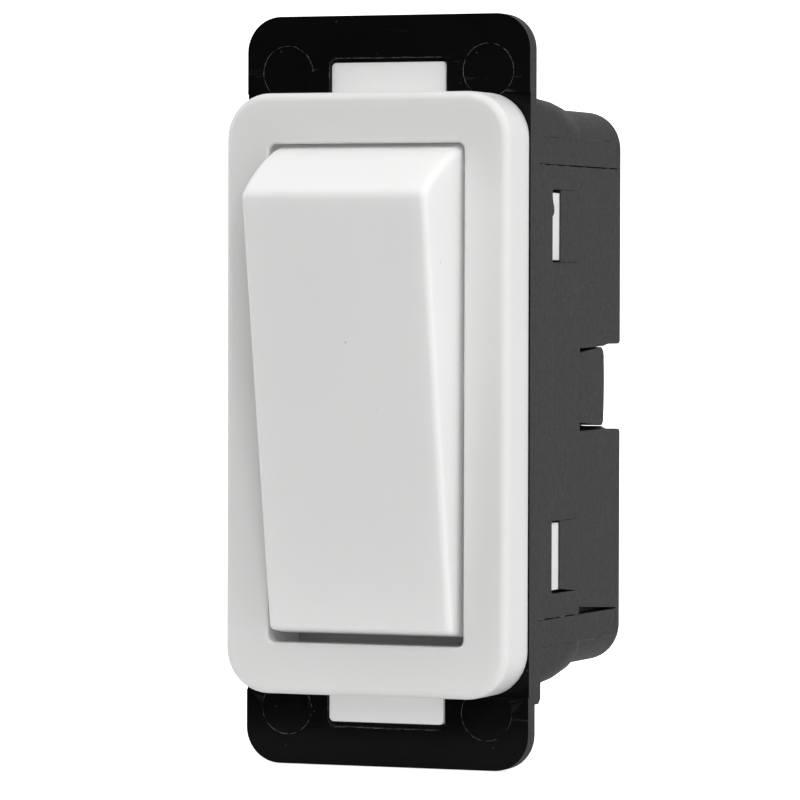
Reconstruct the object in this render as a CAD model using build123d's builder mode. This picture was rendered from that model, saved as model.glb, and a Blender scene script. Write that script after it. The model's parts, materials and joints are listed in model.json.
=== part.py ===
from build123d import *
import os
from math import sin, cos, radians, pi

os.makedirs("parts", exist_ok=True)

# Self-contained single-pole rocker wall switch.
# Millimetres.  +X right, +Y into the wall, +Z up.  Origin: centre of the
# strap's rear face, the face that lies against the wall.
# "Front" is -Y, towards the user.  X values are half widths and Z values are
# heights from the centre unless said otherwise.

SIDES = (1, -1)        # right and left
ENDS = (1, -1)         # upper and lower
OVERSHOOT = 1.0        # how far a cut runs past the surface it opens
OVERLAP = 0.1          # how far a rib or stem is sunk into what carries it
THROUGH = 20.0         # half length of a cut right across the switch
ARC_MID = 1 - cos(pi / 4)   # a quarter round's midpoint from its tangents, per radius

# ---------------------------------------------------------------- shared sizes
STRAP_WIDTH = 33.84    # also the width over the housing sides
STRAP_HEIGHT = 83.9
STRAP_T = 2.1
HALF_WIDTH = STRAP_WIDTH / 2
SEAT_DEPTH = 0.2       # shallow seat in the strap under the bezel
SEAT_Y = -STRAP_T + SEAT_DEPTH

SKIRT_DEPTH = 14.43    # depth of the front housing's skirt behind the strap

NOTCH_Z0, NOTCH_Z1 = 14.46, 22.6        # side notches in the skirt
NOTCH_LEAD = 1.5       # rounding where a notch meets the skirt's rear edge
NOTCH_LEAD_Y = SKIRT_DEPTH - NOTCH_LEAD
LEAD_MID = NOTCH_LEAD * ARC_MID

LEG_Z0, LEG_Z1 = 25.4, 28.4             # snap legs that hold the rear housing
LEG_Z = (LEG_Z0 + LEG_Z1) / 2
LEG_LENGTH = LEG_Z1 - LEG_Z0
SLIT_IN = 0.14         # gap on the leg's inner side
SLIT_OUT = 0.05        # gap on the leg's outer side

SEAM = 0.06            # gap between the skirt and the rear housing
REAR_Y0 = SKIRT_DEPTH + SEAM            # front of the rear housing's outer wall
UPPER_BLOCK_Z = 5.18   # lower edge of the upper terminal block
LOWER_BLOCK_Z = -4.62  # upper edge of the lower terminal block
MIDDLE_Y = 20.6        # rear face of the housing's middle
MIDDLE_SIDE_X = 14.9   # sides of the middle under the mechanism cover
REAR_SIDE_X = 16.9     # sides of the rear housing

CHAMBER_X, CHAMBER_Z = 13.9, 28.6       # mechanism chamber
BASE_Y0, BASE_Y1 = 12.0, 14.2           # mechanism base
BUS_Y0, BUS_Y1 = 11.0, 12.0             # busbars

TERMINAL_Z0, TERMINAL_Z1 = 13.1, 22.0   # brass block of each terminal
TERMINAL_Z = (TERMINAL_Z0 + TERMINAL_Z1) / 2
TERMINAL_LENGTH = TERMINAL_Z1 - TERMINAL_Z0
TERMINAL_Y0, TERMINAL_Y1 = 17.0, 25.0
WIRE_X = 3.5           # wires and screws, each side of centre
SCREW_Z = 17.5

PIVOT_Y = -3.5         # rocker axis
ROCKER_TILT = radians(9.6)              # upper end out
ROCKER_FRAME = (PIVOT_Y, ROCKER_TILT)
SEESAW_Y = 8.5         # see-saw contact axis
SEESAW_TILT = radians(-8.0)
SEESAW_FRAME = (SEESAW_Y, SEESAW_TILT)


# ---------------------------------------------------------------- frames
def at_y(y):
    """Plane facing the user at depth y: sketch x is X, sketch y is Z, and a
    positive extrusion comes towards the user."""
    return Plane.XZ.offset(-y)


def both_sides(x, other):
    """The same place right and left of centre."""
    return (x, other), (-x, other)


# A tilted frame is (Y of its axis, tilt).  In it, depth runs back from the
# axis and along runs up the face.
def tilted_point(axis_y, tilt, depth, along):
    """(Y, Z) of a point given in a tilted frame."""
    return (axis_y + depth * cos(tilt) - along * sin(tilt),
            depth * sin(tilt) + along * cos(tilt))


def tilted_side(axis_y, tilt):
    """Side view of a tilted frame: sketch x is depth, sketch y is along."""
    return Plane(origin=(0, axis_y, 0), x_dir=(0, cos(tilt), sin(tilt)), z_dir=(1, 0, 0))


def tilted_face(axis_y, tilt, depth):
    """Plane across a tilted frame at a depth: sketch x is X, sketch y is along,
    and a positive extrusion comes towards the user."""
    y, z = tilted_point(axis_y, tilt, depth, 0)
    return Plane(origin=(0, y, z), x_dir=(1, 0, 0), z_dir=(0, -cos(tilt), -sin(tilt)))


# ---------------------------------------------------------------- front housing
STRAP_R = 4.0
SKIRT_STATIONS = (     # y, half height, corner radius
    (-0.5, 32.75, 0.8),
    (9.0, 32.6, 2.6),
    (SKIRT_DEPTH, 32.45, 4.3),
)
SKIRT_IN_X, SKIRT_IN_Z, SKIRT_IN_R = 15.5, 30.2, 1.8
OPENING_X, OPENING_Z = 13.45, 29.5      # opening in the strap for the bezel's well
LATCH_SLOT_Z0, LATCH_SLOT_Z1 = 14.5, 22.45   # slots for the bezel's latch legs
NOTCH_Y = 5.3          # front end of each side notch
NOTCH_R = 0.25
LEG_END_Y = 26.9
LEG_T = 1.5
SLIT_Y0 = 1.2          # front end of the slits beside each leg
HOOK_ROOT_X, HOOK_TIP_X = 15.5, 14.75
HOOK_Y0, HOOK_Y1 = 25.3, 25.7           # catch face and end of the hook's tip
WINDOW_X = 7.05        # rectangular windows in the strap lugs
WINDOW_IN = 31.0
WINDOW_OUT = (37.2, 37.66)              # outer ends, upper and lower
WINDOW_R = 0.8
WINDOW_WEB = 0.25      # thin web left at the back of each window
MARK_R, MARK_X, MARK_Z, MARK_DEPTH = 3.0, 12.0, 35.65, 0.1   # round marks
KEY_OUTLINE = (        # y, z of the orientation key
    (-0.3, -31.2), (1.8, -31.2), (1.8, -34.0), (1.2, -34.6), (-0.3, -34.6),
)
KEY_WIDTH = 3.0


def front_housing():
    with BuildPart() as housing:
        with BuildSketch(at_y(0)):
            RectangleRounded(STRAP_WIDTH, STRAP_HEIGHT, STRAP_R)
        extrude(amount=STRAP_T)

        # skirt: nearly square-cornered at the strap, well rounded at its rear edge
        for y, half_height, radius in SKIRT_STATIONS:
            with BuildSketch(at_y(y)):
                RectangleRounded(STRAP_WIDTH, 2 * half_height, radius)
        loft(ruled=True)

        # inside of the skirt and the opening through the strap
        with BuildSketch(at_y(SKIRT_DEPTH)):
            RectangleRounded(2 * SKIRT_IN_X, 2 * SKIRT_IN_Z, SKIRT_IN_R)
        extrude(amount=SKIRT_DEPTH, mode=Mode.SUBTRACT)
        with BuildSketch(at_y(0.01)):
            Rectangle(2 * OPENING_X, 2 * OPENING_Z)
            for end in ENDS:
                with Locations((0, end * (LATCH_SLOT_Z0 + LATCH_SLOT_Z1) / 2)):
                    Rectangle(2 * SKIRT_IN_X, LATCH_SLOT_Z1 - LATCH_SLOT_Z0)
        extrude(amount=STRAP_T + OVERSHOOT, mode=Mode.SUBTRACT)

        # side notches, open to the rear through rounded corners
        arc_y = SKIRT_DEPTH - LEAD_MID
        past_y = SKIRT_DEPTH + OVERSHOOT
        for end in ENDS:
            z_in, z_out = end * NOTCH_Z0, end * NOTCH_Z1
            flare_in, flare_out = z_in - end * NOTCH_LEAD, z_out + end * NOTCH_LEAD
            with BuildSketch(Plane.YZ) as notch:
                with BuildLine():
                    Polyline((NOTCH_LEAD_Y, z_in), (NOTCH_Y, z_in),
                             (NOTCH_Y, z_out), (NOTCH_LEAD_Y, z_out))
                    ThreePointArc((NOTCH_LEAD_Y, z_out), (arc_y, z_out + end * LEAD_MID),
                                  (SKIRT_DEPTH, flare_out))
                    Polyline((SKIRT_DEPTH, flare_out), (past_y, flare_out),
                             (past_y, flare_in), (SKIRT_DEPTH, flare_in))
                    ThreePointArc((SKIRT_DEPTH, flare_in), (arc_y, z_in - end * LEAD_MID),
                                  (NOTCH_LEAD_Y, z_in))
                make_face()
                fillet(notch.vertices().group_by(Axis.X)[0], NOTCH_R)
            extrude(amount=THROUGH, both=True, mode=Mode.SUBTRACT)

        # snap legs that run back over the rear housing, each with a hook
        for side in SIDES:
            for end in ENDS:
                with BuildSketch(at_y(LEG_END_Y)):
                    with Locations((side * (HALF_WIDTH - LEG_T / 2), end * LEG_Z)):
                        Rectangle(LEG_T, LEG_LENGTH)
                extrude(amount=LEG_END_Y)
                with BuildSketch(Plane.XY.offset(end * LEG_Z)):
                    with BuildLine():
                        Polyline((side * HOOK_ROOT_X, HOOK_Y0), (side * HOOK_TIP_X, HOOK_Y0),
                                 (side * HOOK_TIP_X, HOOK_Y1), (side * HOOK_ROOT_X, LEG_END_Y),
                                 (side * HOOK_ROOT_X, HOOK_Y0))
                    make_face()
                extrude(amount=LEG_LENGTH / 2, both=True)
        # slits either side of each snap leg
        for end in ENDS:
            for z, width in ((LEG_Z0 - SLIT_IN / 2, SLIT_IN), (LEG_Z1 + SLIT_OUT / 2, SLIT_OUT)):
                with BuildSketch(Plane.YZ):
                    with Locations(((SLIT_Y0 + past_y) / 2, end * z)):
                        Rectangle(past_y - SLIT_Y0, width)
                extrude(amount=THROUGH, both=True, mode=Mode.SUBTRACT)

        # windows in the lugs, the bezel's seat, the moulded round marks
        with BuildSketch(at_y(-WINDOW_WEB)):
            for end, z_out in zip(ENDS, WINDOW_OUT):
                with Locations((0, end * (WINDOW_IN + z_out) / 2)):
                    RectangleRounded(2 * WINDOW_X, z_out - WINDOW_IN, WINDOW_R)
        extrude(amount=STRAP_T, mode=Mode.SUBTRACT)
        with BuildSketch(at_y(SEAT_Y)):
            with Locations((0, BEZEL_Z)):
                Rectangle(STRAP_WIDTH + 2 * OVERSHOOT, BEZEL_HEIGHT + 0.2)
        extrude(amount=OVERSHOOT, mode=Mode.SUBTRACT)
        with BuildSketch(at_y(-STRAP_T + MARK_DEPTH)):
            with GridLocations(2 * MARK_X, 2 * MARK_Z, 2, 2):
                Circle(MARK_R)
        extrude(amount=OVERSHOOT, mode=Mode.SUBTRACT)

        # orientation key behind the strap, lower right corner only
        with BuildSketch(Plane.YZ.offset(HALF_WIDTH)):
            with BuildLine():
                Polyline(*KEY_OUTLINE, KEY_OUTLINE[0])
            make_face()
        extrude(amount=-KEY_WIDTH)
    return housing.part


# ---------------------------------------------------------------- rear housing
BLOCK_Y = 28.5         # rear faces of the two terminal blocks
BLOCK_TOP = 31.93
BLOCK_BOTTOM = -31.47
BLOCK_R = 4.3
BLOCK_EDGE_R = 0.35
BLOCK_LIP_R = 1.0      # rounding where each block drops to the middle
WEDGE = 0.79           # extra opening beside each lower leg, just behind the skirt
CHANNEL_X = 15.3       # floor of the snap leg channels
CHANNEL_END_Y = 27.02
CHANNEL_CUT = 3.0
HOOK_POCKET_X, HOOK_POCKET_CUT = 14.6, 1.2
HOOK_POCKET_Y0, HOOK_POCKET_Y1 = 25.2, 27.1
LEG_PLAY = 0.1         # added length of the openings behind the legs
LIP_Y = 7.9            # front of the lip that nests in the skirt
LIP_X, LIP_Z, LIP_R = 15.4, 30.1, 1.7
TAB_GAP = 0.04         # gap round the tabs that fill the skirt's notches
TAB_ROOT = 0.4         # how far a tab is sunk into the lip
LOWER_TAB_SLANT = 0.4
COMPARTMENT_Z0, COMPARTMENT_Z1 = 7.0, 28.0   # terminal compartments
COMPARTMENT_X = 12.9
COMPARTMENT_Y = 26.7
CHAMBER_R = 0.8        # corners of the chamber and compartments
PIT_Y, PIT_Z = 19.2, 5.6                # pit between the compartments
GUIDE_Z = 22.3         # inner face of the wire guides
GUIDE_X = 7.2
GUIDE_Y0, GUIDE_Y1 = 16.0, 24.0
SEAT_RIB_X = 1.2       # rib behind each guide
SEAT_STRIP_X, SEAT_STRIP_WIDTH = 6.4, 0.8    # strips behind each terminal block
CHEEK_X, CHEEK_WIDTH, CHEEK_LENGTH = 7.55, 1.4, 7.0
CHEEK_Y = 18.5
WIRE_Y, WIRE_R = 19.5, 1.75
SCREW_HOLE_R = 2.8


def rear_housing():
    with BuildPart() as housing:
        for y in (REAR_Y0, BLOCK_Y):
            with BuildSketch(at_y(y)):
                with Locations((0, (BLOCK_TOP + BLOCK_BOTTOM) / 2)):
                    RectangleRounded(2 * REAR_SIDE_X, BLOCK_TOP - BLOCK_BOTTOM, BLOCK_R)
        loft(ruled=True)
        fillet(housing.faces().sort_by(Axis.Y)[-1].edges(), radius=BLOCK_EDGE_R)

        # middle set back between the two terminal blocks
        up, low = UPPER_BLOCK_Z, LOWER_BLOCK_Z
        lip_y, past_y = BLOCK_Y - BLOCK_LIP_R, BLOCK_Y + OVERSHOOT
        arc = BLOCK_LIP_R * ARC_MID
        with BuildSketch(Plane.YZ):
            with BuildLine():
                Polyline((MIDDLE_Y, up - 0.25), (22.5, up - 0.22), (24.0, up), (lip_y, up))
                ThreePointArc((lip_y, up), (BLOCK_Y - arc, up + arc), (BLOCK_Y, up + BLOCK_LIP_R))
                Polyline((BLOCK_Y, up + BLOCK_LIP_R), (past_y, up + BLOCK_LIP_R),
                         (past_y, low - BLOCK_LIP_R), (BLOCK_Y, low - BLOCK_LIP_R))
                ThreePointArc((BLOCK_Y, low - BLOCK_LIP_R), (BLOCK_Y - arc, low - arc),
                              (lip_y, low))
                Line((lip_y, low), (24.3, low + 0.04))
                ThreePointArc((24.3, low + 0.04), (23.0, low + 0.17), (22.0, low + 0.42))
                Polyline((22.0, low + 0.42), (MIDDLE_Y, low + 0.50), (MIDDLE_Y, up - 0.25))
            make_face()
        extrude(amount=HALF_WIDTH + OVERSHOOT, both=True, mode=Mode.SUBTRACT)

        for side in SIDES:
            # channels for the snap legs, with a pocket for each hook; beside each
            # lower leg the channel opens into a wedge towards the skirt
            for end in ENDS:
                wedge = WEDGE if end < 0 else 0.0
                front_y = REAR_Y0 - OVERSHOOT
                z_in, z_out = LEG_Z0 - SLIT_IN, LEG_Z1 + SLIT_OUT
                with BuildSketch(Plane.YZ.offset(side * CHANNEL_X)):
                    with BuildLine():
                        Polyline((front_y, end * (z_in - wedge)), (CHANNEL_END_Y, end * z_in),
                                 (CHANNEL_END_Y, end * z_out), (front_y, end * z_out),
                                 (front_y, end * (z_in - wedge)))
                    make_face()
                extrude(amount=side * CHANNEL_CUT, mode=Mode.SUBTRACT)
                with BuildSketch(Plane.YZ.offset(side * HOOK_POCKET_X)):
                    with Locations(((HOOK_POCKET_Y0 + HOOK_POCKET_Y1) / 2, end * LEG_Z)):
                        Rectangle(HOOK_POCKET_Y1 - HOOK_POCKET_Y0, LEG_LENGTH + LEG_PLAY)
                extrude(amount=side * HOOK_POCKET_CUT, mode=Mode.SUBTRACT)

        # lip that nests inside the skirt
        lip_root_y = REAR_Y0 + 0.5
        with BuildSketch(at_y(lip_root_y)):
            RectangleRounded(2 * LIP_X, 2 * LIP_Z, LIP_R)
        extrude(amount=lip_root_y - LIP_Y)

        tab_in, tab_out = NOTCH_Z0 + TAB_GAP, NOTCH_Z1 - TAB_GAP
        flare_in, flare_out = tab_in - NOTCH_LEAD + 0.1, tab_out + NOTCH_LEAD - 0.1
        flare_y, arc_y = SKIRT_DEPTH + 0.02, SKIRT_DEPTH - LEAD_MID + TAB_GAP / 2
        tab_end_y = REAR_Y0 + 0.3
        for side in SIDES:
            for end in ENDS:
                # relief behind each snap leg, and a tab that fills each notch
                with BuildSketch(Plane.YZ.offset(side * CHANNEL_X)):
                    with Locations(((LIP_Y + REAR_Y0) / 2, end * LEG_Z)):
                        Rectangle(REAR_Y0 - LIP_Y + 4, LEG_LENGTH + LEG_PLAY)
                extrude(amount=side * CHANNEL_CUT, mode=Mode.SUBTRACT)
                slant = LOWER_TAB_SLANT if end < 0 else 0.0
                with BuildSketch(Plane.YZ.offset(side * (LIP_X - TAB_ROOT))):
                    with BuildLine():
                        Line((LIP_Y, end * tab_in), (NOTCH_LEAD_Y, end * tab_in))
                        ThreePointArc((NOTCH_LEAD_Y, end * tab_in),
                                      (arc_y, end * (tab_in - LEAD_MID)),
                                      (flare_y, end * flare_in))
                        Polyline((flare_y, end * flare_in), (tab_end_y, end * flare_in),
                                 (tab_end_y, end * flare_out), (flare_y, end * flare_out))
                        ThreePointArc((flare_y, end * flare_out),
                                      (arc_y, end * (tab_out + LEAD_MID)),
                                      (NOTCH_LEAD_Y, end * tab_out))
                        Polyline((NOTCH_LEAD_Y, end * tab_out), (LIP_Y, end * (tab_out - slant)),
                                 (LIP_Y, end * tab_in))
                    make_face()
                extrude(amount=side * (REAR_SIDE_X - LIP_X + TAB_ROOT))

        # sides of the middle, set in under the mechanism cover
        for side in SIDES:
            with BuildSketch(Plane.YZ.offset(side * MIDDLE_SIDE_X)):
                with BuildLine():
                    Polyline((REAR_Y0 - 0.2, up - 0.42), (MIDDLE_Y + OVERSHOOT, up - 0.25),
                             (MIDDLE_Y + OVERSHOOT, low + 0.05), (REAR_Y0 - 0.2, low),
                             (REAR_Y0 - 0.2, up - 0.42))
                make_face()
            extrude(amount=side * 4, mode=Mode.SUBTRACT)

        # mechanism chamber, the two terminal compartments and the pit between them
        with BuildSketch(at_y(BASE_Y1)):
            RectangleRounded(2 * CHAMBER_X, 2 * CHAMBER_Z, CHAMBER_R)
        extrude(amount=BASE_Y1 - LIP_Y + OVERSHOOT, mode=Mode.SUBTRACT)
        with BuildSketch(at_y(COMPARTMENT_Y)):
            for end in ENDS:
                with Locations((0, end * (COMPARTMENT_Z0 + COMPARTMENT_Z1) / 2)):
                    RectangleRounded(2 * COMPARTMENT_X, COMPARTMENT_Z1 - COMPARTMENT_Z0, CHAMBER_R)
        extrude(amount=COMPARTMENT_Y - BASE_Y1 + 0.5, mode=Mode.SUBTRACT)
        with BuildSketch(at_y(PIT_Y)):
            RectangleRounded(2 * COMPARTMENT_X, 2 * PIT_Z, CHAMBER_R)
        extrude(amount=PIT_Y - BASE_Y1 + 0.5, mode=Mode.SUBTRACT)

        # wire guides and terminal block seats
        guide_end_z = COMPARTMENT_Z1 + 0.5
        guide_z, guide_length = (GUIDE_Z + guide_end_z) / 2, guide_end_z - GUIDE_Z
        floor_y = COMPARTMENT_Y + 0.2       # just inside the rear wall
        for end in ENDS:
            with BuildSketch(at_y(GUIDE_Y1)):
                with Locations((0, end * guide_z)):
                    Rectangle(2 * GUIDE_X, guide_length)
            extrude(amount=GUIDE_Y1 - GUIDE_Y0)
            with BuildSketch(at_y(floor_y)):
                with Locations((0, end * guide_z)):
                    Rectangle(2 * SEAT_RIB_X, guide_length)
                with Locations(*both_sides(SEAT_STRIP_X, end * TERMINAL_Z)):
                    Rectangle(SEAT_STRIP_WIDTH, TERMINAL_LENGTH)
            extrude(amount=floor_y - TERMINAL_Y1)
            # side cheeks that keep the terminal block centred
            with BuildSketch(at_y(floor_y)):
                with Locations(*both_sides(CHEEK_X, end * TERMINAL_Z)):
                    Rectangle(CHEEK_WIDTH, CHEEK_LENGTH)
            extrude(amount=floor_y - CHEEK_Y)
            # wire holes through the end wall and guide
            with BuildSketch(Plane.XY.offset(end * (GUIDE_Z - 0.2))):
                with Locations(*both_sides(WIRE_X, WIRE_Y)):
                    Circle(WIRE_R)
            extrude(amount=end * 12, mode=Mode.SUBTRACT)
            # screwdriver holes in the rear face
            with BuildSketch(at_y(BLOCK_Y + 0.5)):
                with Locations(*both_sides(WIRE_X, end * SCREW_Z)):
                    Circle(SCREW_HOLE_R)
            extrude(amount=BLOCK_Y + 0.5 - COMPARTMENT_Y + 0.1, mode=Mode.SUBTRACT)
    return housing.part


# ---------------------------------------------------------------- mechanism cover
COVER_Y0 = REAR_Y0 + 0.05


def mechanism_cover():
    """Saddle over the back and sides of the rear housing's middle."""
    with BuildPart() as cover:
        with BuildSketch(Plane.YZ):
            with BuildLine():
                Polyline((COVER_Y0, -3.65), (COVER_Y0, 4.3), (21.9, 4.86))
                ThreePointArc((21.9, 4.86), (22.6, 4.35), (22.8, 3.4))
                ThreePointArc((22.8, 3.4), (22.9, 0.2), (22.68, -3.2))
                ThreePointArc((22.68, -3.2), (22.5, -3.85), (21.95, -4.13))
                Line((21.95, -4.13), (COVER_Y0, -3.65))
            make_face()
        extrude(amount=REAR_SIDE_X - 0.02, both=True)
        with BuildSketch(at_y(MIDDLE_Y)):
            Rectangle(2 * MIDDLE_SIDE_X, 20)
        extrude(amount=12, mode=Mode.SUBTRACT)
    return cover.part


# ---------------------------------------------------------------- bezel frame
BEZEL_WIDTH, BEZEL_HEIGHT = 33.65, 66.8
BEZEL_Z = -0.25        # centre of the frame
BEZEL_R = 5.0
BEZEL_FRONT, BEZEL_BACK = -8.67, -2.05
BEZEL_T = 1.8
BEZEL_INSIDE = BEZEL_FRONT + BEZEL_T    # rear face of the front wall
BEZEL_EDGE_R = 1.0
ROCKER_HOLE_X = 11.64  # rocker opening
ROCKER_HOLE_TOP, ROCKER_HOLE_BOTTOM = 27.5, -27.9
ROCKER_HOLE_R = 0.8
WELL_X, WELL_Z = 13.4, 29.2             # well walls behind the opening
WELL_IN_Z = 28.3
WELL_BACK = 0.6
BEARING_R = 1.61
BEARING_THROAT = 2.6
LATCH_Z, LATCH_HALF = 18.46, 3.76       # latch leg's centre and half length
LATCH_ROOT_Y = BEZEL_INSIDE - 0.2
LATCH_OUTLINE = (      # x, y
    (13.7, LATCH_ROOT_Y), (15.4, LATCH_ROOT_Y), (15.4, 5.38), (16.85, 5.38), (16.85, 7.72),
    (16.6, 7.84), (14.1, 7.84), (13.7, 7.0), (13.7, LATCH_ROOT_Y),
)
TONGUE_OUTLINES = (    # y, z of the upper and the lower tongue
    ((-2.3, 31.95), (-0.35, 31.95), (-0.35, 36.7), (-1.85, 36.7), (-1.85, 33.1),
     (-2.3, 33.1), (-2.3, 31.95)),
    ((-2.3, -32.0), (-0.6, -32.0), (-0.6, -37.04), (-2.15, -37.04), (-2.15, -33.6),
     (-2.3, -33.6), (-2.3, -32.0)),
)
TONGUE_X = 6.85
TONGUE_R = 0.7
TONGUE_TIP_Z = 36      # beyond this lie only the tongues' tips
FOOT_X, FOOT_Z = 15.9, 26.0
FOOT_WIDTH, FOOT_LENGTH, FOOT_HEIGHT = 1.4, 3.0, 0.5


def bezel_frame():
    with BuildPart() as bezel:
        with BuildSketch(at_y(BEZEL_BACK)):
            with Locations((0, BEZEL_Z)):
                RectangleRounded(BEZEL_WIDTH, BEZEL_HEIGHT, BEZEL_R)
        extrude(amount=BEZEL_BACK - BEZEL_FRONT)
        fillet(bezel.faces().sort_by(Axis.Y)[0].edges(), radius=BEZEL_EDGE_R)
        with BuildSketch(at_y(BEZEL_BACK)):
            with Locations((0, BEZEL_Z)):
                RectangleRounded(BEZEL_WIDTH - 2 * BEZEL_T, BEZEL_HEIGHT - 2 * BEZEL_T,
                                 BEZEL_R - BEZEL_T)
        extrude(amount=BEZEL_BACK - BEZEL_INSIDE, mode=Mode.SUBTRACT)

        # well around the rocker
        with BuildSketch(at_y(WELL_BACK)):
            Rectangle(2 * WELL_X, 2 * WELL_Z)
        extrude(amount=WELL_BACK - BEZEL_INSIDE)
        with BuildSketch(at_y(WELL_BACK)):
            Rectangle(2 * ROCKER_HOLE_X, 2 * WELL_IN_Z)
        extrude(amount=WELL_BACK - BEZEL_INSIDE, mode=Mode.SUBTRACT)
        with BuildSketch(at_y(BEZEL_INSIDE + 0.5)):
            with Locations((0, (ROCKER_HOLE_TOP + ROCKER_HOLE_BOTTOM) / 2)):
                RectangleRounded(2 * ROCKER_HOLE_X, ROCKER_HOLE_TOP - ROCKER_HOLE_BOTTOM,
                                 ROCKER_HOLE_R)
        extrude(amount=BEZEL_T + 0.5 + OVERSHOOT, mode=Mode.SUBTRACT)

        # rocker bearings: snap-in, open to the rear through a narrower throat
        throat_end_y = WELL_BACK + 0.5
        with BuildSketch(Plane.YZ):
            with Locations((PIVOT_Y, 0)):
                Circle(BEARING_R)
            with Locations(((PIVOT_Y + throat_end_y) / 2, 0)):
                Rectangle(throat_end_y - PIVOT_Y, BEARING_THROAT)
        extrude(amount=WELL_X + 0.2, both=True, mode=Mode.SUBTRACT)

        # latch legs with barbs that catch in the skirt's notches
        for side in SIDES:
            for end in ENDS:
                with BuildSketch(Plane.XY.offset(end * LATCH_Z)):
                    with BuildLine():
                        Polyline(*[(side * x, y) for x, y in LATCH_OUTLINE])
                    make_face()
                extrude(amount=LATCH_HALF, both=True)

        # tongues seen in the lugs' windows
        with BuildSketch(Plane.YZ):
            for outline in TONGUE_OUTLINES:
                with BuildLine():
                    Polyline(*outline)
                make_face()
        extrude(amount=TONGUE_X, both=True)
        fillet(bezel.edges().filter_by(Axis.Y).filter_by(
            lambda edge: abs(edge.center().Z) > TONGUE_TIP_Z
            and abs(abs(edge.center().X) - TONGUE_X) < 0.01), radius=TONGUE_R)

        # small feet on which the frame sits in its seat
        with BuildSketch(at_y(SEAT_Y)):
            with GridLocations(2 * FOOT_X, 2 * FOOT_Z, 2, 2):
                Rectangle(FOOT_WIDTH, FOOT_LENGTH)
        extrude(amount=FOOT_HEIGHT)
    return bezel.part


# ---------------------------------------------------------------- rocker
# Depths and lengths along the face are in the rocker's tilted frame.
FACE_DEPTH, FACE_HALF = -11.0, 24.15    # face, and its half length
SKIN_DEPTH, SKIN_HALF = 1.6, 27.5       # rear edge, and its half length
FACE_X, SKIN_X = 10.85, 11.28           # half widths there
END_ARC = (-5.2, 26.5)                  # point on the curved end: depth, along
HOLLOW_ARC = (-4.5, 24.8)               # the same inside
HOLLOW_X = 9.2
ROCKER_R = 0.8
ROCKER_T = 1.7
RIB_DEPTH = -4.0       # rear edge of the ribs
RIB_T = 1.1
CROSS_RIBS = (-16.0, -8.0, 8.0, 16.0)
CROSS_RIB_LENGTH = 18.6
LONG_RIB_X, LONG_RIB_LENGTH = 5.0, 46.0
EAR_X, EAR_T, EAR_R = 9.1, 2.1, 3.4
TRUNNION_X, TRUNNION_LENGTH, TRUNNION_R = 11.0, 2.2, 1.55
STEM_DEPTH = 3.0
STEM_R, STEM_BORE_R, STEM_BORE_DEPTH = 3.3, 2.0, 11.0


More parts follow.
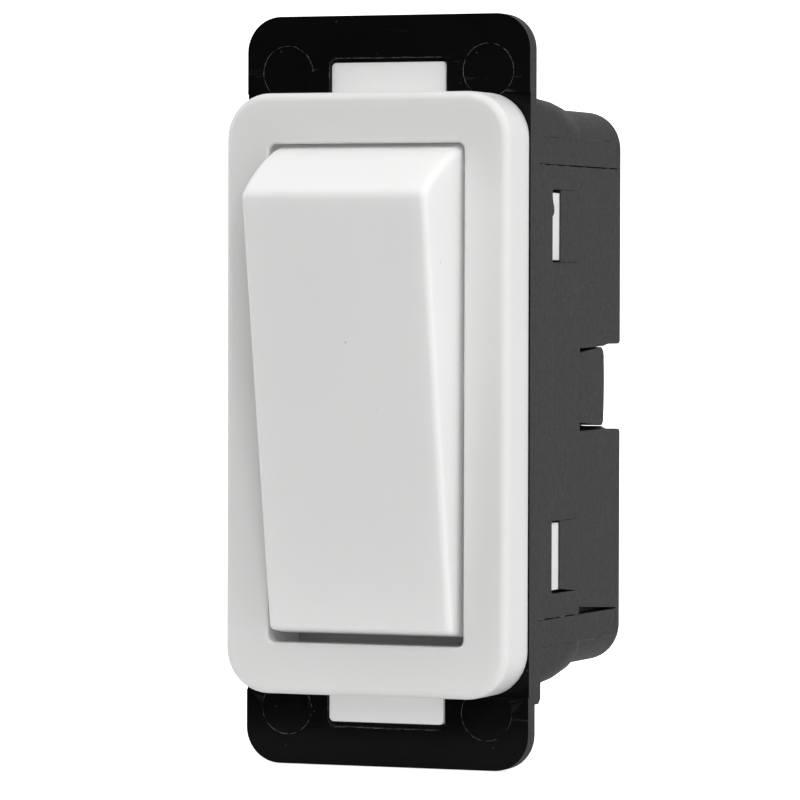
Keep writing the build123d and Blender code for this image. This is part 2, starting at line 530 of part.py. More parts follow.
def rocker():
    side_view = tilted_side(*ROCKER_FRAME)
    # end view: sketch x is X, sketch y is depth
    end_view = Plane(origin=(0, PIVOT_Y, 0), x_dir=(1, 0, 0),
                     z_dir=(0, -sin(ROCKER_TILT), cos(ROCKER_TILT)))
    depth_axis = Vector(0, cos(ROCKER_TILT), sin(ROCKER_TILT))
    with BuildPart() as body:
        with BuildSketch(side_view):
            with BuildLine():
                Line((FACE_DEPTH, -FACE_HALF), (FACE_DEPTH, FACE_HALF))
                ThreePointArc((FACE_DEPTH, FACE_HALF), END_ARC, (SKIN_DEPTH, SKIN_HALF))
                Line((SKIN_DEPTH, SKIN_HALF), (SKIN_DEPTH, -SKIN_HALF))
                ThreePointArc((SKIN_DEPTH, -SKIN_HALF), (END_ARC[0], -END_ARC[1]),
                              (FACE_DEPTH, -FACE_HALF))
            make_face()
        extrude(amount=SKIN_X + 0.5, both=True)
        with BuildSketch(end_view):
            with BuildLine():
                Polyline((-FACE_X, FACE_DEPTH - 0.001), (FACE_X, FACE_DEPTH - 0.001),
                         (SKIN_X, SKIN_DEPTH + 0.001), (-SKIN_X, SKIN_DEPTH + 0.001),
                         (-FACE_X, FACE_DEPTH - 0.001))
            make_face()
        extrude(amount=32, both=True, mode=Mode.INTERSECT)
        # every edge but those round the open rear
        fillet(body.edges().filter_by(
            lambda edge: (edge.center() - Vector(0, PIVOT_Y, 0)).dot(depth_axis)
            < SKIN_DEPTH - 0.5), radius=ROCKER_R)

        # hollow inside
        front, front_half = FACE_DEPTH + ROCKER_T, FACE_HALF - 1.5
        back, back_half = SKIN_DEPTH + 0.1, SKIN_HALF - ROCKER_T
        with BuildSketch(side_view):
            with BuildLine():
                Line((front, -front_half), (front, front_half))
                ThreePointArc((front, front_half), HOLLOW_ARC, (back, back_half))
                Line((back, back_half), (back, -back_half))
                ThreePointArc((back, -back_half), (HOLLOW_ARC[0], -HOLLOW_ARC[1]),
                              (front, -front_half))
            make_face()
        extrude(amount=HOLLOW_X, both=True, mode=Mode.SUBTRACT)

        # cross ribs and the two lengthwise ribs
        with BuildSketch(tilted_face(*ROCKER_FRAME, RIB_DEPTH)):
            for along in CROSS_RIBS:
                with Locations((0, along)):
                    Rectangle(CROSS_RIB_LENGTH, RIB_T)
            for side in (-1, 1):
                with Locations((side * LONG_RIB_X, 0)):
                    Rectangle(RIB_T, LONG_RIB_LENGTH)
        extrude(amount=RIB_DEPTH - front + OVERLAP)

        # ears and trunnions
        for side in SIDES:
            with BuildSketch(side_view.offset(side * EAR_X)):
                with Locations((-1.0, 0)):
                    Rectangle(5.0, 8.0)
                Circle(EAR_R)
            extrude(amount=side * EAR_T)
            with BuildSketch(side_view.offset(side * TRUNNION_X)):
                Circle(TRUNNION_R)
            extrude(amount=side * TRUNNION_LENGTH)

        # stem with the spring bore
        with BuildSketch(tilted_face(*ROCKER_FRAME, STEM_DEPTH)):
            Circle(STEM_R)
        extrude(amount=STEM_DEPTH - front + OVERLAP)
        with BuildSketch(tilted_face(*ROCKER_FRAME, STEM_DEPTH)):
            Circle(STEM_BORE_R)
        extrude(amount=STEM_BORE_DEPTH, mode=Mode.SUBTRACT)
    return body.part


# ---------------------------------------------------------------- plunger and its spring
PLUNGER_R = 1.92
TIP_R = 1.4
TIP_DEPTH = 9.0        # centre of the round tip, in the rocker's frame
PLUNGER_FRONT = -2.0
SPRING_DEPTH = -7.68   # front end of the spring, in the rocker's frame
SPRING_PITCH, SPRING_LENGTH, SPRING_R, SPRING_WIRE_R = 1.05, 5.35, 1.45, 0.25


def plunger():
    with BuildPart() as pin:
        with BuildSketch(tilted_side(*ROCKER_FRAME)):
            with BuildLine():
                Polyline((PLUNGER_FRONT, 0), (PLUNGER_FRONT, 1.2), (-1.7, PLUNGER_R),
                         (6.4, PLUNGER_R), (7.2, TIP_R), (TIP_DEPTH, TIP_R))
                ThreePointArc((TIP_DEPTH, TIP_R),
                              (TIP_DEPTH + TIP_R * cos(pi / 4), TIP_R * sin(pi / 4)),
                              (TIP_DEPTH + TIP_R, 0))
                Line((TIP_DEPTH + TIP_R, 0), (PLUNGER_FRONT, 0))
            make_face()
        revolve(axis=Axis((0, PIVOT_Y, 0), (0, cos(ROCKER_TILT), sin(ROCKER_TILT))),
                revolution_arc=360)
    return pin.part


def plunger_spring():
    y, z = tilted_point(*ROCKER_FRAME, SPRING_DEPTH, 0)
    with BuildPart() as spring:
        with BuildLine() as coil:
            Helix(pitch=SPRING_PITCH, height=SPRING_LENGTH, radius=SPRING_R, center=(0, y, z),
                  direction=(0, cos(ROCKER_TILT), sin(ROCKER_TILT)))
        with BuildSketch(Plane(origin=coil.line @ 0, z_dir=coil.line % 0)):
            Circle(SPRING_WIRE_R)
        sweep(is_frenet=True)
    return spring.part


# ---------------------------------------------------------------- see-saw and contacts
# Depths and lengths along are in the see-saw's tilted frame.
SEESAW_FRONT, SEESAW_BACK = -1.55, -0.55
SEESAW_HALF = 9.2      # half length
SEESAW_X = 3.0
HUB_R = 1.3
AXLE_R, AXLE_X = 0.8, 4.6
CONTACT_ALONG = -8.0   # moving contact's place on the lower arm
CONTACT_HOLE_R, CONTACT_SHANK_R = 0.72, 0.7
CONTACT_T = 0.8        # thickness of the moving contact's pad
CONTACT_GAP = 0.06     # left between the contacts when they meet
FIXED_Z = -7.9         # fixed contact's Z


def contact_rocker():
    side_view = tilted_side(*SEESAW_FRAME)
    with BuildPart() as seesaw:
        with BuildSketch(side_view):
            with BuildLine():
                Polyline((SEESAW_FRONT, -SEESAW_HALF), (SEESAW_FRONT, SEESAW_HALF),
                         (SEESAW_BACK, SEESAW_HALF), (SEESAW_BACK, -SEESAW_HALF),
                         (SEESAW_FRONT, -SEESAW_HALF))
            make_face()
            Circle(HUB_R)
        extrude(amount=SEESAW_X, both=True)
        with BuildSketch(side_view):
            Circle(AXLE_R)
        extrude(amount=AXLE_X, both=True)
        with BuildSketch(tilted_face(*SEESAW_FRAME, 0.5)):
            with Locations((0, CONTACT_ALONG)):
                Circle(CONTACT_HOLE_R)
        extrude(amount=3, mode=Mode.SUBTRACT)
        # the short edges at the four corners
        fillet(seesaw.edges().filter_by(
            lambda edge: abs(edge.center().X) > 2.9 and abs(edge.center().Z) > 8.5
            and edge.length < 1.2), radius=0.8)
    return seesaw.part


def moving_contact_tip():
    with BuildPart() as contact:
        for depth, radius, length in (          # pad, shank, riveted head
            (SEESAW_BACK + CONTACT_T, 1.6, CONTACT_T),
            (SEESAW_BACK, CONTACT_SHANK_R, SEESAW_BACK - SEESAW_FRONT),
            (SEESAW_FRONT, 1.15, 0.4),
        ):
            with BuildSketch(tilted_face(*SEESAW_FRAME, depth)):
                with Locations((0, CONTACT_ALONG)):
                    Circle(radius)
            extrude(amount=length)
    return contact.part


def fixed_contact_tip():
    """Its face is cut to meet the moving contact square on, with the see-saw
    tilted the other way."""
    closed_tilt = -SEESAW_TILT
    meet_y, meet_z = tilted_point(SEESAW_Y, closed_tilt,
                                  SEESAW_BACK + CONTACT_T + CONTACT_GAP, CONTACT_ALONG)
    with BuildPart() as contact:
        with BuildSketch(at_y(BUS_Y0)):
            with Locations((0, FIXED_Z)):
                Circle(1.7)
        extrude(amount=2.0)
        split(bisect_by=Plane(origin=(0, meet_y, meet_z),
                              z_dir=(0, cos(closed_tilt), sin(closed_tilt))), keep=Keep.TOP)
        for y, radius, length in (              # shank, riveted head
            (BUS_Y1, CONTACT_SHANK_R, BUS_Y1 - BUS_Y0),
            (BUS_Y1 + 0.4, 1.2, 0.4),
        ):
            with BuildSketch(at_y(y)):
                with Locations((0, FIXED_Z)):
                    Circle(radius)
            extrude(amount=length)
    return contact.part


# ---------------------------------------------------------------- busbars
BUS_WIDTH = 5.6
TAIL_Z0, TAIL_Z1 = 12.1, 13.1           # tails that run back to the terminals
TAIL_END_Y = 22.0
LINE_BUS_Z = 1.0       # inner ends of the bars, from the centre
LOAD_BUS_Z = 5.6
CRADLE_WIDTH, CRADLE_LENGTH = 8.8, 3.6
CRADLE_X, CRADLE_T = 3.5, 0.9
CRADLE_R, CRADLE_BORE_R = 1.8, 0.86


def line_busbar():
    with BuildPart() as busbar:
        with BuildSketch(at_y(BUS_Y1)):
            Rectangle(CRADLE_WIDTH, CRADLE_LENGTH)
            with Locations((0, (TAIL_Z1 + LINE_BUS_Z) / 2)):
                Rectangle(BUS_WIDTH, TAIL_Z1 - LINE_BUS_Z)
        extrude(amount=BUS_Y1 - BUS_Y0)
        # cradle ears for the see-saw's axle
        for side in SIDES:
            with BuildSketch(Plane.YZ.offset(side * CRADLE_X)):
                with Locations(((SEESAW_Y + BUS_Y1) / 2, 0)):
                    Rectangle(BUS_Y1 - SEESAW_Y, CRADLE_LENGTH)
                with Locations((SEESAW_Y, 0)):
                    Circle(CRADLE_R)
                    Circle(CRADLE_BORE_R, mode=Mode.SUBTRACT)
            extrude(amount=side * CRADLE_T)
        with BuildSketch(Plane.XY.offset(TAIL_Z0)):
            with Locations((0, (BUS_Y0 + TAIL_END_Y) / 2)):
                Rectangle(BUS_WIDTH, TAIL_END_Y - BUS_Y0)
        extrude(amount=TAIL_Z1 - TAIL_Z0)
    return busbar.part


def load_busbar():
    with BuildPart() as busbar:
        with BuildSketch(at_y(BUS_Y1)):
            with Locations((0, -(TAIL_Z1 + LOAD_BUS_Z) / 2)):
                Rectangle(BUS_WIDTH, TAIL_Z1 - LOAD_BUS_Z)
            with Locations((0, FIXED_Z)):
                Circle(CONTACT_HOLE_R, mode=Mode.SUBTRACT)
        extrude(amount=BUS_Y1 - BUS_Y0)
        with BuildSketch(Plane.XY.offset(-TAIL_Z1)):
            with Locations((0, (BUS_Y0 + TAIL_END_Y) / 2)):
                Rectangle(BUS_WIDTH, TAIL_END_Y - BUS_Y0)
        extrude(amount=TAIL_Z1 - TAIL_Z0)
    return busbar.part


# ---------------------------------------------------------------- mechanism base
BASE_PLAY = 0.15       # gap between the base and the chamber walls
WALL_T, WALL_HEIGHT = 1.2, 3.4          # locating walls


def mechanism_base():
    with BuildPart() as base:
        with BuildSketch(at_y(BASE_Y1)):
            RectangleRounded(2 * (CHAMBER_X - BASE_PLAY), 2 * (CHAMBER_Z - BASE_PLAY), 0.7)
            # slots for the busbar tails, and a hole for the fixed contact's rivet
            for end in ENDS:
                with Locations((0, end * (TAIL_Z0 + TAIL_Z1) / 2)):
                    Rectangle(5.8, 1.2, mode=Mode.SUBTRACT)
            with Locations((0, FIXED_Z)):
                Circle(1.4, mode=Mode.SUBTRACT)
        extrude(amount=BASE_Y1 - BASE_Y0)
        # locating walls beside the busbars
        with BuildSketch(at_y(BASE_Y0 + 0.2)):
            for side in SIDES:
                with Locations((side * 7.2, 0)):
                    Rectangle(WALL_T, 40.0)
            for end in ENDS:
                with Locations((0, end * 19.4)):
                    Rectangle(15.6, WALL_T)
        extrude(amount=WALL_HEIGHT)
    return base.part


# ---------------------------------------------------------------- arc barrier and stop
BARRIER_FRONT = 4.6


def arc_barrier():
    """Three walls round the contacts, open at the top."""
    with BuildPart() as barrier:
        with BuildSketch(at_y(BASE_Y0)):
            with Locations((0, -7.6)):
                Rectangle(12.0, 9.2)
            with Locations((0, -7.0)):
                Rectangle(10.6, 9.4, mode=Mode.SUBTRACT)
        extrude(amount=BASE_Y0 - BARRIER_FRONT)
        # foot of the lower wall clears the load busbar
        with BuildSketch(at_y(BASE_Y0)):
            with Locations((0, -12.0)):
                Rectangle(5.9, 2.0)
        extrude(amount=1.1, mode=Mode.SUBTRACT)
    return barrier.part


def contact_stop():
    """Block under the see-saw's upper arm, its front face just behind the arm."""
    stop_depth = SEESAW_BACK + 0.05
    front_low = tilted_point(*SEESAW_FRAME, stop_depth, 7.4)
    front_high = tilted_point(*SEESAW_FRAME, stop_depth, 9.6)
    with BuildPart() as stop:
        with BuildSketch(Plane.YZ):
            with BuildLine():
                Polyline((BUS_Y0, 7.3), front_low, front_high, (BUS_Y0, 9.8), (BUS_Y0, 7.3))
            make_face()
        extrude(amount=2.6, both=True)
    return stop.part


# ---------------------------------------------------------------- terminals
# Each function takes end = 1 for the upper (line) or -1 for the lower (load).
TERMINAL_X = 6.8
SCREW_STEPS = (        # rear y, front y, radius: head, thread, point
    (27.2, 25.25, 2.4),
    (25.3, 21.5, 1.45),
    (21.6, 20.75, 0.7),
)


def terminal_block(end):
    with BuildPart() as block:
        with BuildSketch(at_y(TERMINAL_Y1)):
            with Locations((0, end * TERMINAL_Z)):
                Rectangle(2 * TERMINAL_X, TERMINAL_LENGTH)
        extrude(amount=TERMINAL_Y1 - TERMINAL_Y0)
        # wire pockets, open at the outer end, then the screw bores
        with BuildSketch(Plane.XY.offset(end * (TERMINAL_Z0 + 0.9))):
            with Locations(*both_sides(WIRE_X, 20.2)):
                Rectangle(3.8, 4.0)
        extrude(amount=end * 10, mode=Mode.SUBTRACT)
        with BuildSketch(at_y(TERMINAL_Y1)):
            with Locations(*both_sides(WIRE_X, end * SCREW_Z)):
                Circle(1.52)
        extrude(amount=3.5, mode=Mode.SUBTRACT)
        chamfer(block.edges().filter_by(Axis.Y), length=0.3)
    return block.part


def terminal_screws(end):
    with BuildPart() as screws:
        for side in SIDES:
            for back_y, front_y, radius in SCREW_STEPS:
                with BuildSketch(at_y(back_y)):
                    with Locations((side * WIRE_X, end * SCREW_Z)):
                        Circle(radius)
                extrude(amount=back_y - front_y)
            # driver slot
            with BuildSketch(at_y(27.3)):
                with Locations((side * WIRE_X, end * SCREW_Z)):
                    Rectangle(6, 0.7)
            extrude(amount=1.0, mode=Mode.SUBTRACT)
    return screws.part


def clamp_plates(end):
    with BuildPart() as plates:
        with BuildSketch(at_y(21.45)):
            for side in SIDES:
                with Locations((side * WIRE_X, end * 17.9)):
                    Rectangle(3.4, 7.0)
                with Locations((side * WIRE_X, end * SCREW_Z)):
                    Circle(0.75, mode=Mode.SUBTRACT)
        extrude(amount=0.85)
    return plates.part


# ---------------------------------------------------------------- export
pieces = {
    build.__name__: build()
    for build in (
        front_housing, rear_housing, mechanism_cover, bezel_frame, rocker, plunger,
        plunger_spring, contact_rocker, moving_contact_tip, fixed_contact_tip,
        line_busbar, load_busbar, mechanism_base, arc_barrier, contact_stop,
    )
}
for circuit, end in (("line", 1), ("load", -1)):
    for build in (terminal_block, terminal_screws, clamp_plates):
        pieces[f"{circuit}_{build.__name__}"] = build(end)

for name, piece in pieces.items():
    piece.label = name
    export_step(piece, f"parts/{name}.step")
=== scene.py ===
"""Rocker wall switch: white frame and tilted paddle, black housing and strap, metal inner parts.

X runs across the switch, Z up. The face looks towards -Y and the housing runs back along +Y.
Part sizes are in mm and are scaled by MM; floor, lights and camera are in metres.
"""
import json
import math
import random
import bpy
import bmesh
from mathutils import Vector, Matrix


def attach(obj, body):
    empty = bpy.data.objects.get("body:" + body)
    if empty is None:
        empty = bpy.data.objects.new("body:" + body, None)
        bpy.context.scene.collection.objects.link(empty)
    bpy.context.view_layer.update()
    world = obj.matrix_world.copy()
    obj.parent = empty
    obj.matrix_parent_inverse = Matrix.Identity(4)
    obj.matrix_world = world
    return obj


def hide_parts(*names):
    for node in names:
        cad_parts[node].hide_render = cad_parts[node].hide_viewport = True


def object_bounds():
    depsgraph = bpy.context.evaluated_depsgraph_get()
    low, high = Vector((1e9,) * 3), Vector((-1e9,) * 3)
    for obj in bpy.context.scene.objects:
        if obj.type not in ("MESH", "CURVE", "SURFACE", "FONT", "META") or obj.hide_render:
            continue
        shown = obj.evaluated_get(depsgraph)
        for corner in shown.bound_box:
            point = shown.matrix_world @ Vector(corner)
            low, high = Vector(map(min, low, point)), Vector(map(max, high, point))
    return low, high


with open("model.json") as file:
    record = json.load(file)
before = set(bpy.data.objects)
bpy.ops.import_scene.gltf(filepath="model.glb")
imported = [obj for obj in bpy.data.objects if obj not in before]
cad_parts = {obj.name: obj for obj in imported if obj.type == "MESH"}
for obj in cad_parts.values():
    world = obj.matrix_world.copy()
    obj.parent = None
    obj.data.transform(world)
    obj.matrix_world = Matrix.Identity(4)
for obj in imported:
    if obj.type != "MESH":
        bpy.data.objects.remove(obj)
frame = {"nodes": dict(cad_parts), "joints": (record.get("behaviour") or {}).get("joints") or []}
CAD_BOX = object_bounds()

random.seed(11)
MM = 0.001
SIDES = (1, -1)
SMOOTH_ANGLE = 32            # degrees; sharper edges stay hard
scene = bpy.context.scene

# Frame face and its outer wall
BEZEL_W, BEZEL_H, BEZEL_MID_Z, BEZEL_R = 33.65, 66.8, -0.25, 5.0
BEZEL_FRONT, BEZEL_REAR, BEZEL_WALL = -8.67, -2.05, 1.8
UNDER_FACE = BEZEL_FRONT + BEZEL_WALL
# Opening for the rocker, and the well behind it
OPEN_HALF_W, OPEN_TOP, OPEN_BOTTOM, OPEN_R = 11.64, 27.5, -27.9, 0.8
WELL_HALF_W, WELL_HALF_H, WELL_IN_HALF_H, WELL_REAR = 13.4, 29.2, 28.3, 0.6
# Rocker pivot; the paddle rests at half its travel
tilt_joint = next(joint for joint in frame["joints"] if joint["name"] == "rocker_tilt")
PIVOT_Y = tilt_joint["pos_m"][1] * 1000.0
TILT = -math.radians(tilt_joint["range_deg"][0]) / 2.0
# Rocker, in its own axes: depth behind the pivot, height above it
ROCK_FACE, ROCK_FACE_HALF_H, ROCK_FACE_HALF_W = -11.0, 24.15, 10.85
ROCK_BASE, ROCK_BASE_HALF_H, ROCK_BASE_HALF_W = 1.6, 27.5, 11.28
ROCK_EDGE_R, ROCK_WALL = 0.8, 1.7
ROCK_INNER = ROCK_FACE + ROCK_WALL


# ------------------------------------------------------------------ outlines
def arc(mid_x, mid_y, radius, start, end, steps):
    angles = [start + (end - start) * i / steps for i in range(steps + 1)]
    return [(mid_x + radius * math.cos(a), mid_y + radius * math.sin(a)) for a in angles]


def circle(radius, steps):
    return arc(0, 0, radius, 0, 2 * math.pi, steps)[:-1]


def quarter(radius, steps):
    """Offsets of a quarter round: the first falls to 0 as the second grows to the radius."""
    angles = [math.pi / 2 * k / steps for k in range(steps + 1)]
    return [(radius * (1 - math.sin(a)), radius * (1 - math.cos(a))) for a in angles]


def rect(x0, x1, z0, z1):
    return [(x0, z0), (x1, z0), (x1, z1), (x0, z1)]


def rounded_rect(x0, x1, z0, z1, radius, side_steps=(10, 18)):
    """Anticlockwise, with a fixed point count. radius may be (top, bottom);
    side_steps are along x and along z."""
    top, bottom = radius if isinstance(radius, tuple) else (radius, radius)
    arcs = [arc(x, z, corner_r, math.radians(angle), math.radians(angle + 90), 10)
            for x, z, angle, corner_r in (
                (x1 - top, z1 - top, 0, top), (x0 + top, z1 - top, 90, top),
                (x0 + bottom, z0 + bottom, 180, bottom), (x1 - bottom, z0 + bottom, 270, bottom))]
    points = []
    for k, corner in enumerate(arcs):
        points += corner
        start, end = corner[-1], arcs[(k + 1) % 4][0]
        steps = side_steps[k % 2]
        points += [(start[0] + (end[0] - start[0]) * i / steps,
                    start[1] + (end[1] - start[1]) * i / steps) for i in range(1, steps)]
    return points


def ring_at(y, outline):
    return [(x, y, z) for x, z in outline]


# ------------------------------------------------------------------ mesh helpers
def shade(ob, angle=SMOOTH_ANGLE):
    mesh = ob.data
    mesh.polygons.foreach_set("use_smooth", [True] * len(mesh.polygons))
    mesh.set_sharp_from_angle(angle=math.radians(angle))


def to_object(name, bm):
    mesh = bpy.data.meshes.new(name)
    bm.to_mesh(mesh)
    bm.free()
    ob = bpy.data.objects.new(name, mesh)
    scene.collection.objects.link(ob)
    return ob


def link(name, bm):
    bm.normal_update()
    ob = to_object(name, bm)
    shade(ob)
    return ob


def loft(name, rings, closed=False):
    """Skin a stack of rings (mm). A closed stack joins last to first, an open one is capped."""
    bm = bmesh.new()
    stack = [[bm.verts.new(Vector(p) * MM) for p in ring] for ring in rings]
    count = len(rings[0])
    for i in range(len(stack) if closed else len(stack) - 1):
        near, far = stack[i], stack[(i + 1) % len(stack)]
        for k in range(count):
            after = (k + 1) % count
            bm.faces.new((near[k], near[after], far[after], far[k]))
    if not closed:
        bm.faces.new(list(reversed(stack[0])))
        bm.faces.new(stack[-1])
    bmesh.ops.recalc_face_normals(bm, faces=bm.faces)
    return link(name, bm)


def prism(name, outline, low, high, axis, bevel=0.0, segments=3):
    """Closed prism (mm). Outline for axis X: (y, z); for Y: (x, z); for Z: (x, y)."""
    bm = bmesh.new()
    slot = "XYZ".index(axis)

    def layer(level):
        return [bm.verts.new(Vector((*p[:slot], level, *p[slot:])) * MM) for p in outline]

    near, far = layer(low), layer(high)
    count = len(outline)
    bm.faces.new(near)
    bm.faces.new(list(reversed(far)))
    for k in range(count):
        after = (k + 1) % count
        bm.faces.new((near[k], far[k], far[after], near[after]))
    bmesh.ops.recalc_face_normals(bm, faces=bm.faces)
    if bevel:
        edges = [e for e in bm.edges if e.calc_face_angle(0) > math.radians(30)]
        bmesh.ops.bevel(bm, geom=edges, offset=bevel * MM, segments=segments, profile=0.5,
                        affect="EDGES", clamp_overlap=True)
    return link(name, bm)


def apply_modifier(ob, kind, **settings):
    """Bake one modifier into the object's mesh; returns the mesh it had before."""
    modifier = ob.modifiers.new(kind.lower(), kind)
    for key, value in settings.items():
        setattr(modifier, key, value)
    depsgraph = bpy.context.evaluated_depsgraph_get()
    mesh = bpy.data.meshes.new_from_object(ob.evaluated_get(depsgraph), depsgraph=depsgraph)
    ob.modifiers.clear()
    old = ob.data
    ob.data = mesh
    return old


def boolean(ob, other, operation="UNION"):
    old = apply_modifier(ob, "BOOLEAN", operation=operation, solver="EXACT", object=other)
    bpy.data.meshes.remove(old)
    bpy.data.objects.remove(other, do_unlink=True)


def flatten_large_faces(mesh, min_area=4e-6):
    """Give every large flat its own normal, so edge shading never bleeds into it."""
    flats = {}
    for face in mesh.polygons:
        offset = round(face.normal.dot(face.center) * 1e5)
        key = tuple(round(v, 3) for v in face.normal) + (offset,)
        flats.setdefault(key, []).append(face)
    normals = [tuple(n.vector) for n in mesh.corner_normals]
    for group in flats.values():
        if sum(face.area for face in group) > min_area:
            for face in group:
                for i in face.loop_indices:
                    normals[i] = tuple(face.normal)
    mesh.normals_split_custom_set(normals)


def refine(node, name, width):
    """New mesh on a CAD node's surface: welded, flats dissolved to clean
    polygons, and every real edge given a small moulded radius (mm)."""
    source = frame["nodes"][node]
    bm = bmesh.new()
    bm.from_mesh(source.data)
    bmesh.ops.transform(bm, matrix=source.matrix_world, verts=bm.verts)
    bmesh.ops.remove_doubles(bm, verts=bm.verts, dist=2e-6)
    bmesh.ops.dissolve_limit(bm, angle_limit=math.radians(0.6), verts=bm.verts, edges=bm.edges)
    bmesh.ops.recalc_face_normals(bm, faces=bm.faces)
    ob = to_object(name, bm)
    apply_modifier(ob, "BEVEL", width=width * MM, segments=3, limit_method="ANGLE",
                   angle_limit=math.radians(30), use_clamp_overlap=True,
                   miter_outer="MITER_SHARP")
    bm = bmesh.new()
    bm.from_mesh(ob.data)
    bmesh.ops.remove_doubles(bm, verts=bm.verts, dist=1e-6)
    bmesh.ops.triangulate(bm, faces=[f for f in bm.faces if len(f.verts) > 4])
    bm.to_mesh(ob.data)
    bm.free()
    shade(ob, angle=35)
    apply_modifier(ob, "WEIGHTED_NORMAL", mode="FACE_AREA", weight=50, keep_sharp=True)
    flatten_large_faces(ob.data)
    return ob


# ------------------------------------------------------------------ shader helpers
class Shader:
    """Adds nodes to one node tree. Node inputs take either values or sockets."""

    def __init__(self, owner, shader="BsdfPrincipled", output="OutputMaterial", coords="Object"):
        owner.use_nodes = True
        self.owner = owner
        self.tree = owner.node_tree
        self.tree.nodes.clear()
        out = self.add(output)
        self.shader = self.add(shader)
        self.feed(out, {0: self.shader.outputs[0]})
        self.coords = self.add("TexCoord").outputs[coords]

    def feed(self, node, inputs):
        for key, value in inputs.items():
            socket = node.inputs[key]
            if isinstance(value, bpy.types.NodeSocket):
                self.tree.links.new(value, socket)
            else:
                socket.default_value = (*value, 1) if socket.type == "RGBA" else value

    def add(self, kind, inputs=None, **settings):
        node = self.tree.nodes.new("ShaderNode" + kind)
        for key, value in settings.items():
            setattr(node, key, value)
        self.feed(node, inputs or {})
        return node

    def set(self, inputs):
        self.feed(self.shader, inputs)

    def noise(self, size, detail, rough=0.55, stretch=(1, 1, 1), distortion=0.0):
        """Noise with features of about `size` mm; a small stretch value lengthens them."""
        scale = tuple(1000.0 / size * s for s in stretch)
        mapping = self.add("Mapping", {"Scale": scale, "Vector": self.coords})
        return self.add("TexNoise", {
            "Scale": 1.0, "Detail": detail, "Roughness": rough, "Distortion": distortion,
            "Vector": mapping.outputs[0]}).outputs["Fac"]

    def ramp(self, factor, stops):
        """stops: (position, grey level)."""
        node = self.add("ValToRGB", {0: factor})
        elements = node.color_ramp.elements
        while len(elements) < len(stops):
            elements.new(0.5)
        for element, (position, grey) in zip(elements, stops):
            element.position = position
            element.color = (grey, grey, grey, 1)
        return node.outputs[0]

    def specks(self, per_metre, stops):
        """Small round dots, one per Voronoi cell; stops run outwards from the dot's centre."""
        mapping = self.add("Mapping", {"Scale": (per_metre,) * 3, "Vector": self.coords})
        cells = self.add("TexVoronoi", {"Scale": 1.0, "Vector": mapping.outputs[0]}, feature="F1")
        return self.ramp(cells.outputs["Distance"], stops)

    def math(self, operation, *values):
        return self.add("Math", dict(enumerate(values)), operation=operation).outputs[0]

    def mix(self, factor, first, second):
        """Colour mix."""
        return self.add("Mix", {0: factor, 6: first, 7: second}, data_type="RGBA").outputs[2]

    def between(self, factor, low, high):
        """Number mix."""
        return self.add("Mix", {0: factor, 2: low, 3: high}, data_type="FLOAT").outputs[0]

    def smooth_range(self, value, source, target):
        return self.add("MapRange", {
            "Value": value, "From Min": source[0], "From Max": source[1],
            "To Min": target[0], "To Max": target[1]},
            interpolation_type="SMOOTHSTEP").outputs[0]

    def axes(self, vector):
        return tuple(self.add("SeparateXYZ", {0: vector}).outputs)

    def bumps(self, layers):
        """layers: (height socket, distance in mm), chained."""
        normal = None
        for height, distance in layers:
            inputs = {"Strength": 1.0, "Distance": distance * MM, "Height": height}
            if normal is not None:
                inputs["Normal"] = normal
            normal = self.add("Bump", inputs).outputs[0]
        self.set({"Normal": normal})


def dimmed(colour, factor):
    return tuple(v * factor for v in colour)


# ------------------------------------------------------------------ materials
def white_plastic(name, colour, rough):
    mat = Shader(bpy.data.materials.new(name))
    broad = mat.noise(size=22.0, detail=2.0)
    mid = mat.noise(size=3.2, detail=3.0)
    fine = mat.noise(size=0.42, detail=3.0, rough=0.6)
    grain = mat.noise(size=0.14, detail=2.0, rough=0.5)
    # slow cloudiness of the resin, a faint mottled grain, then sparse specks
    cloud = mat.ramp(broad, stops=[(0.35, 0.0), (0.7, 1.0)])
    tint = mat.mix(cloud, dimmed(colour, 0.975), colour)
    mottle = mat.ramp(grain, stops=[(0.3, 0.0), (0.75, 0.16)])
    tint = mat.mix(mottle, tint, dimmed(colour, 0.90))
    speck = mat.specks(per_metre=160, stops=[(0.020, 1.0), (0.040, 0.0)])
    speck_strength = 0.35
    speck_colour = (0.30, 0.28, 0.25)
    tint = mat.mix(mat.math("MULTIPLY", speck, speck_strength), tint, speck_colour)
    patches = mat.ramp(mid, stops=[(0.3, 0.0), (0.7, 1.0)])
    mat.set({
        "Base Color": tint,
        "Roughness": mat.between(patches, low=rough - 0.04, high=rough + 0.05),
        "IOR": 1.49,
        "Subsurface Weight": 0.45,
        "Subsurface Radius": (0.0022, 0.0021, 0.0020),
        "Subsurface Scale": 1.0,
    })
    mat.bumps([(mid, 0.010), (fine, 0.0035), (grain, 0.0016)])

    # painted light: the recesses behind the face glow faintly, more towards the top, and so does
    # everything at the lower tongue's level behind y -2.6 mm, so those gaps and the tongue's
    # underside read grey instead of black (limits in metres)
    well_half_w = 0.0138
    foot_top, foot_front, foot_painted_glow = -0.0325, -0.0026, 0.16
    x, y, z = mat.axes(mat.coords)
    deep_painted_glow_mask = mat.smooth_range(y, source=(-0.0076, -0.0066), target=(0.0, 1.0))
    inside = mat.math("LESS_THAN", mat.math("ABSOLUTE", x), well_half_w)
    deep_painted_glow_mask = mat.math("MULTIPLY", deep_painted_glow_mask, inside)
    # painted light: the glow in the well rises from bottom to top
    level = mat.smooth_range(z, source=(-0.024, 0.024), target=(0.022, 0.095))
    foot = mat.math("MULTIPLY", mat.math("LESS_THAN", z, foot_top),
                    mat.math("GREATER_THAN", y, foot_front))
    glow = mat.math("ADD", mat.math("MULTIPLY", deep_painted_glow_mask, level),
                    mat.math("MULTIPLY", foot, foot_painted_glow))
    mat.set({"Emission Color": tint, "Emission Strength": glow})
    return mat.owner


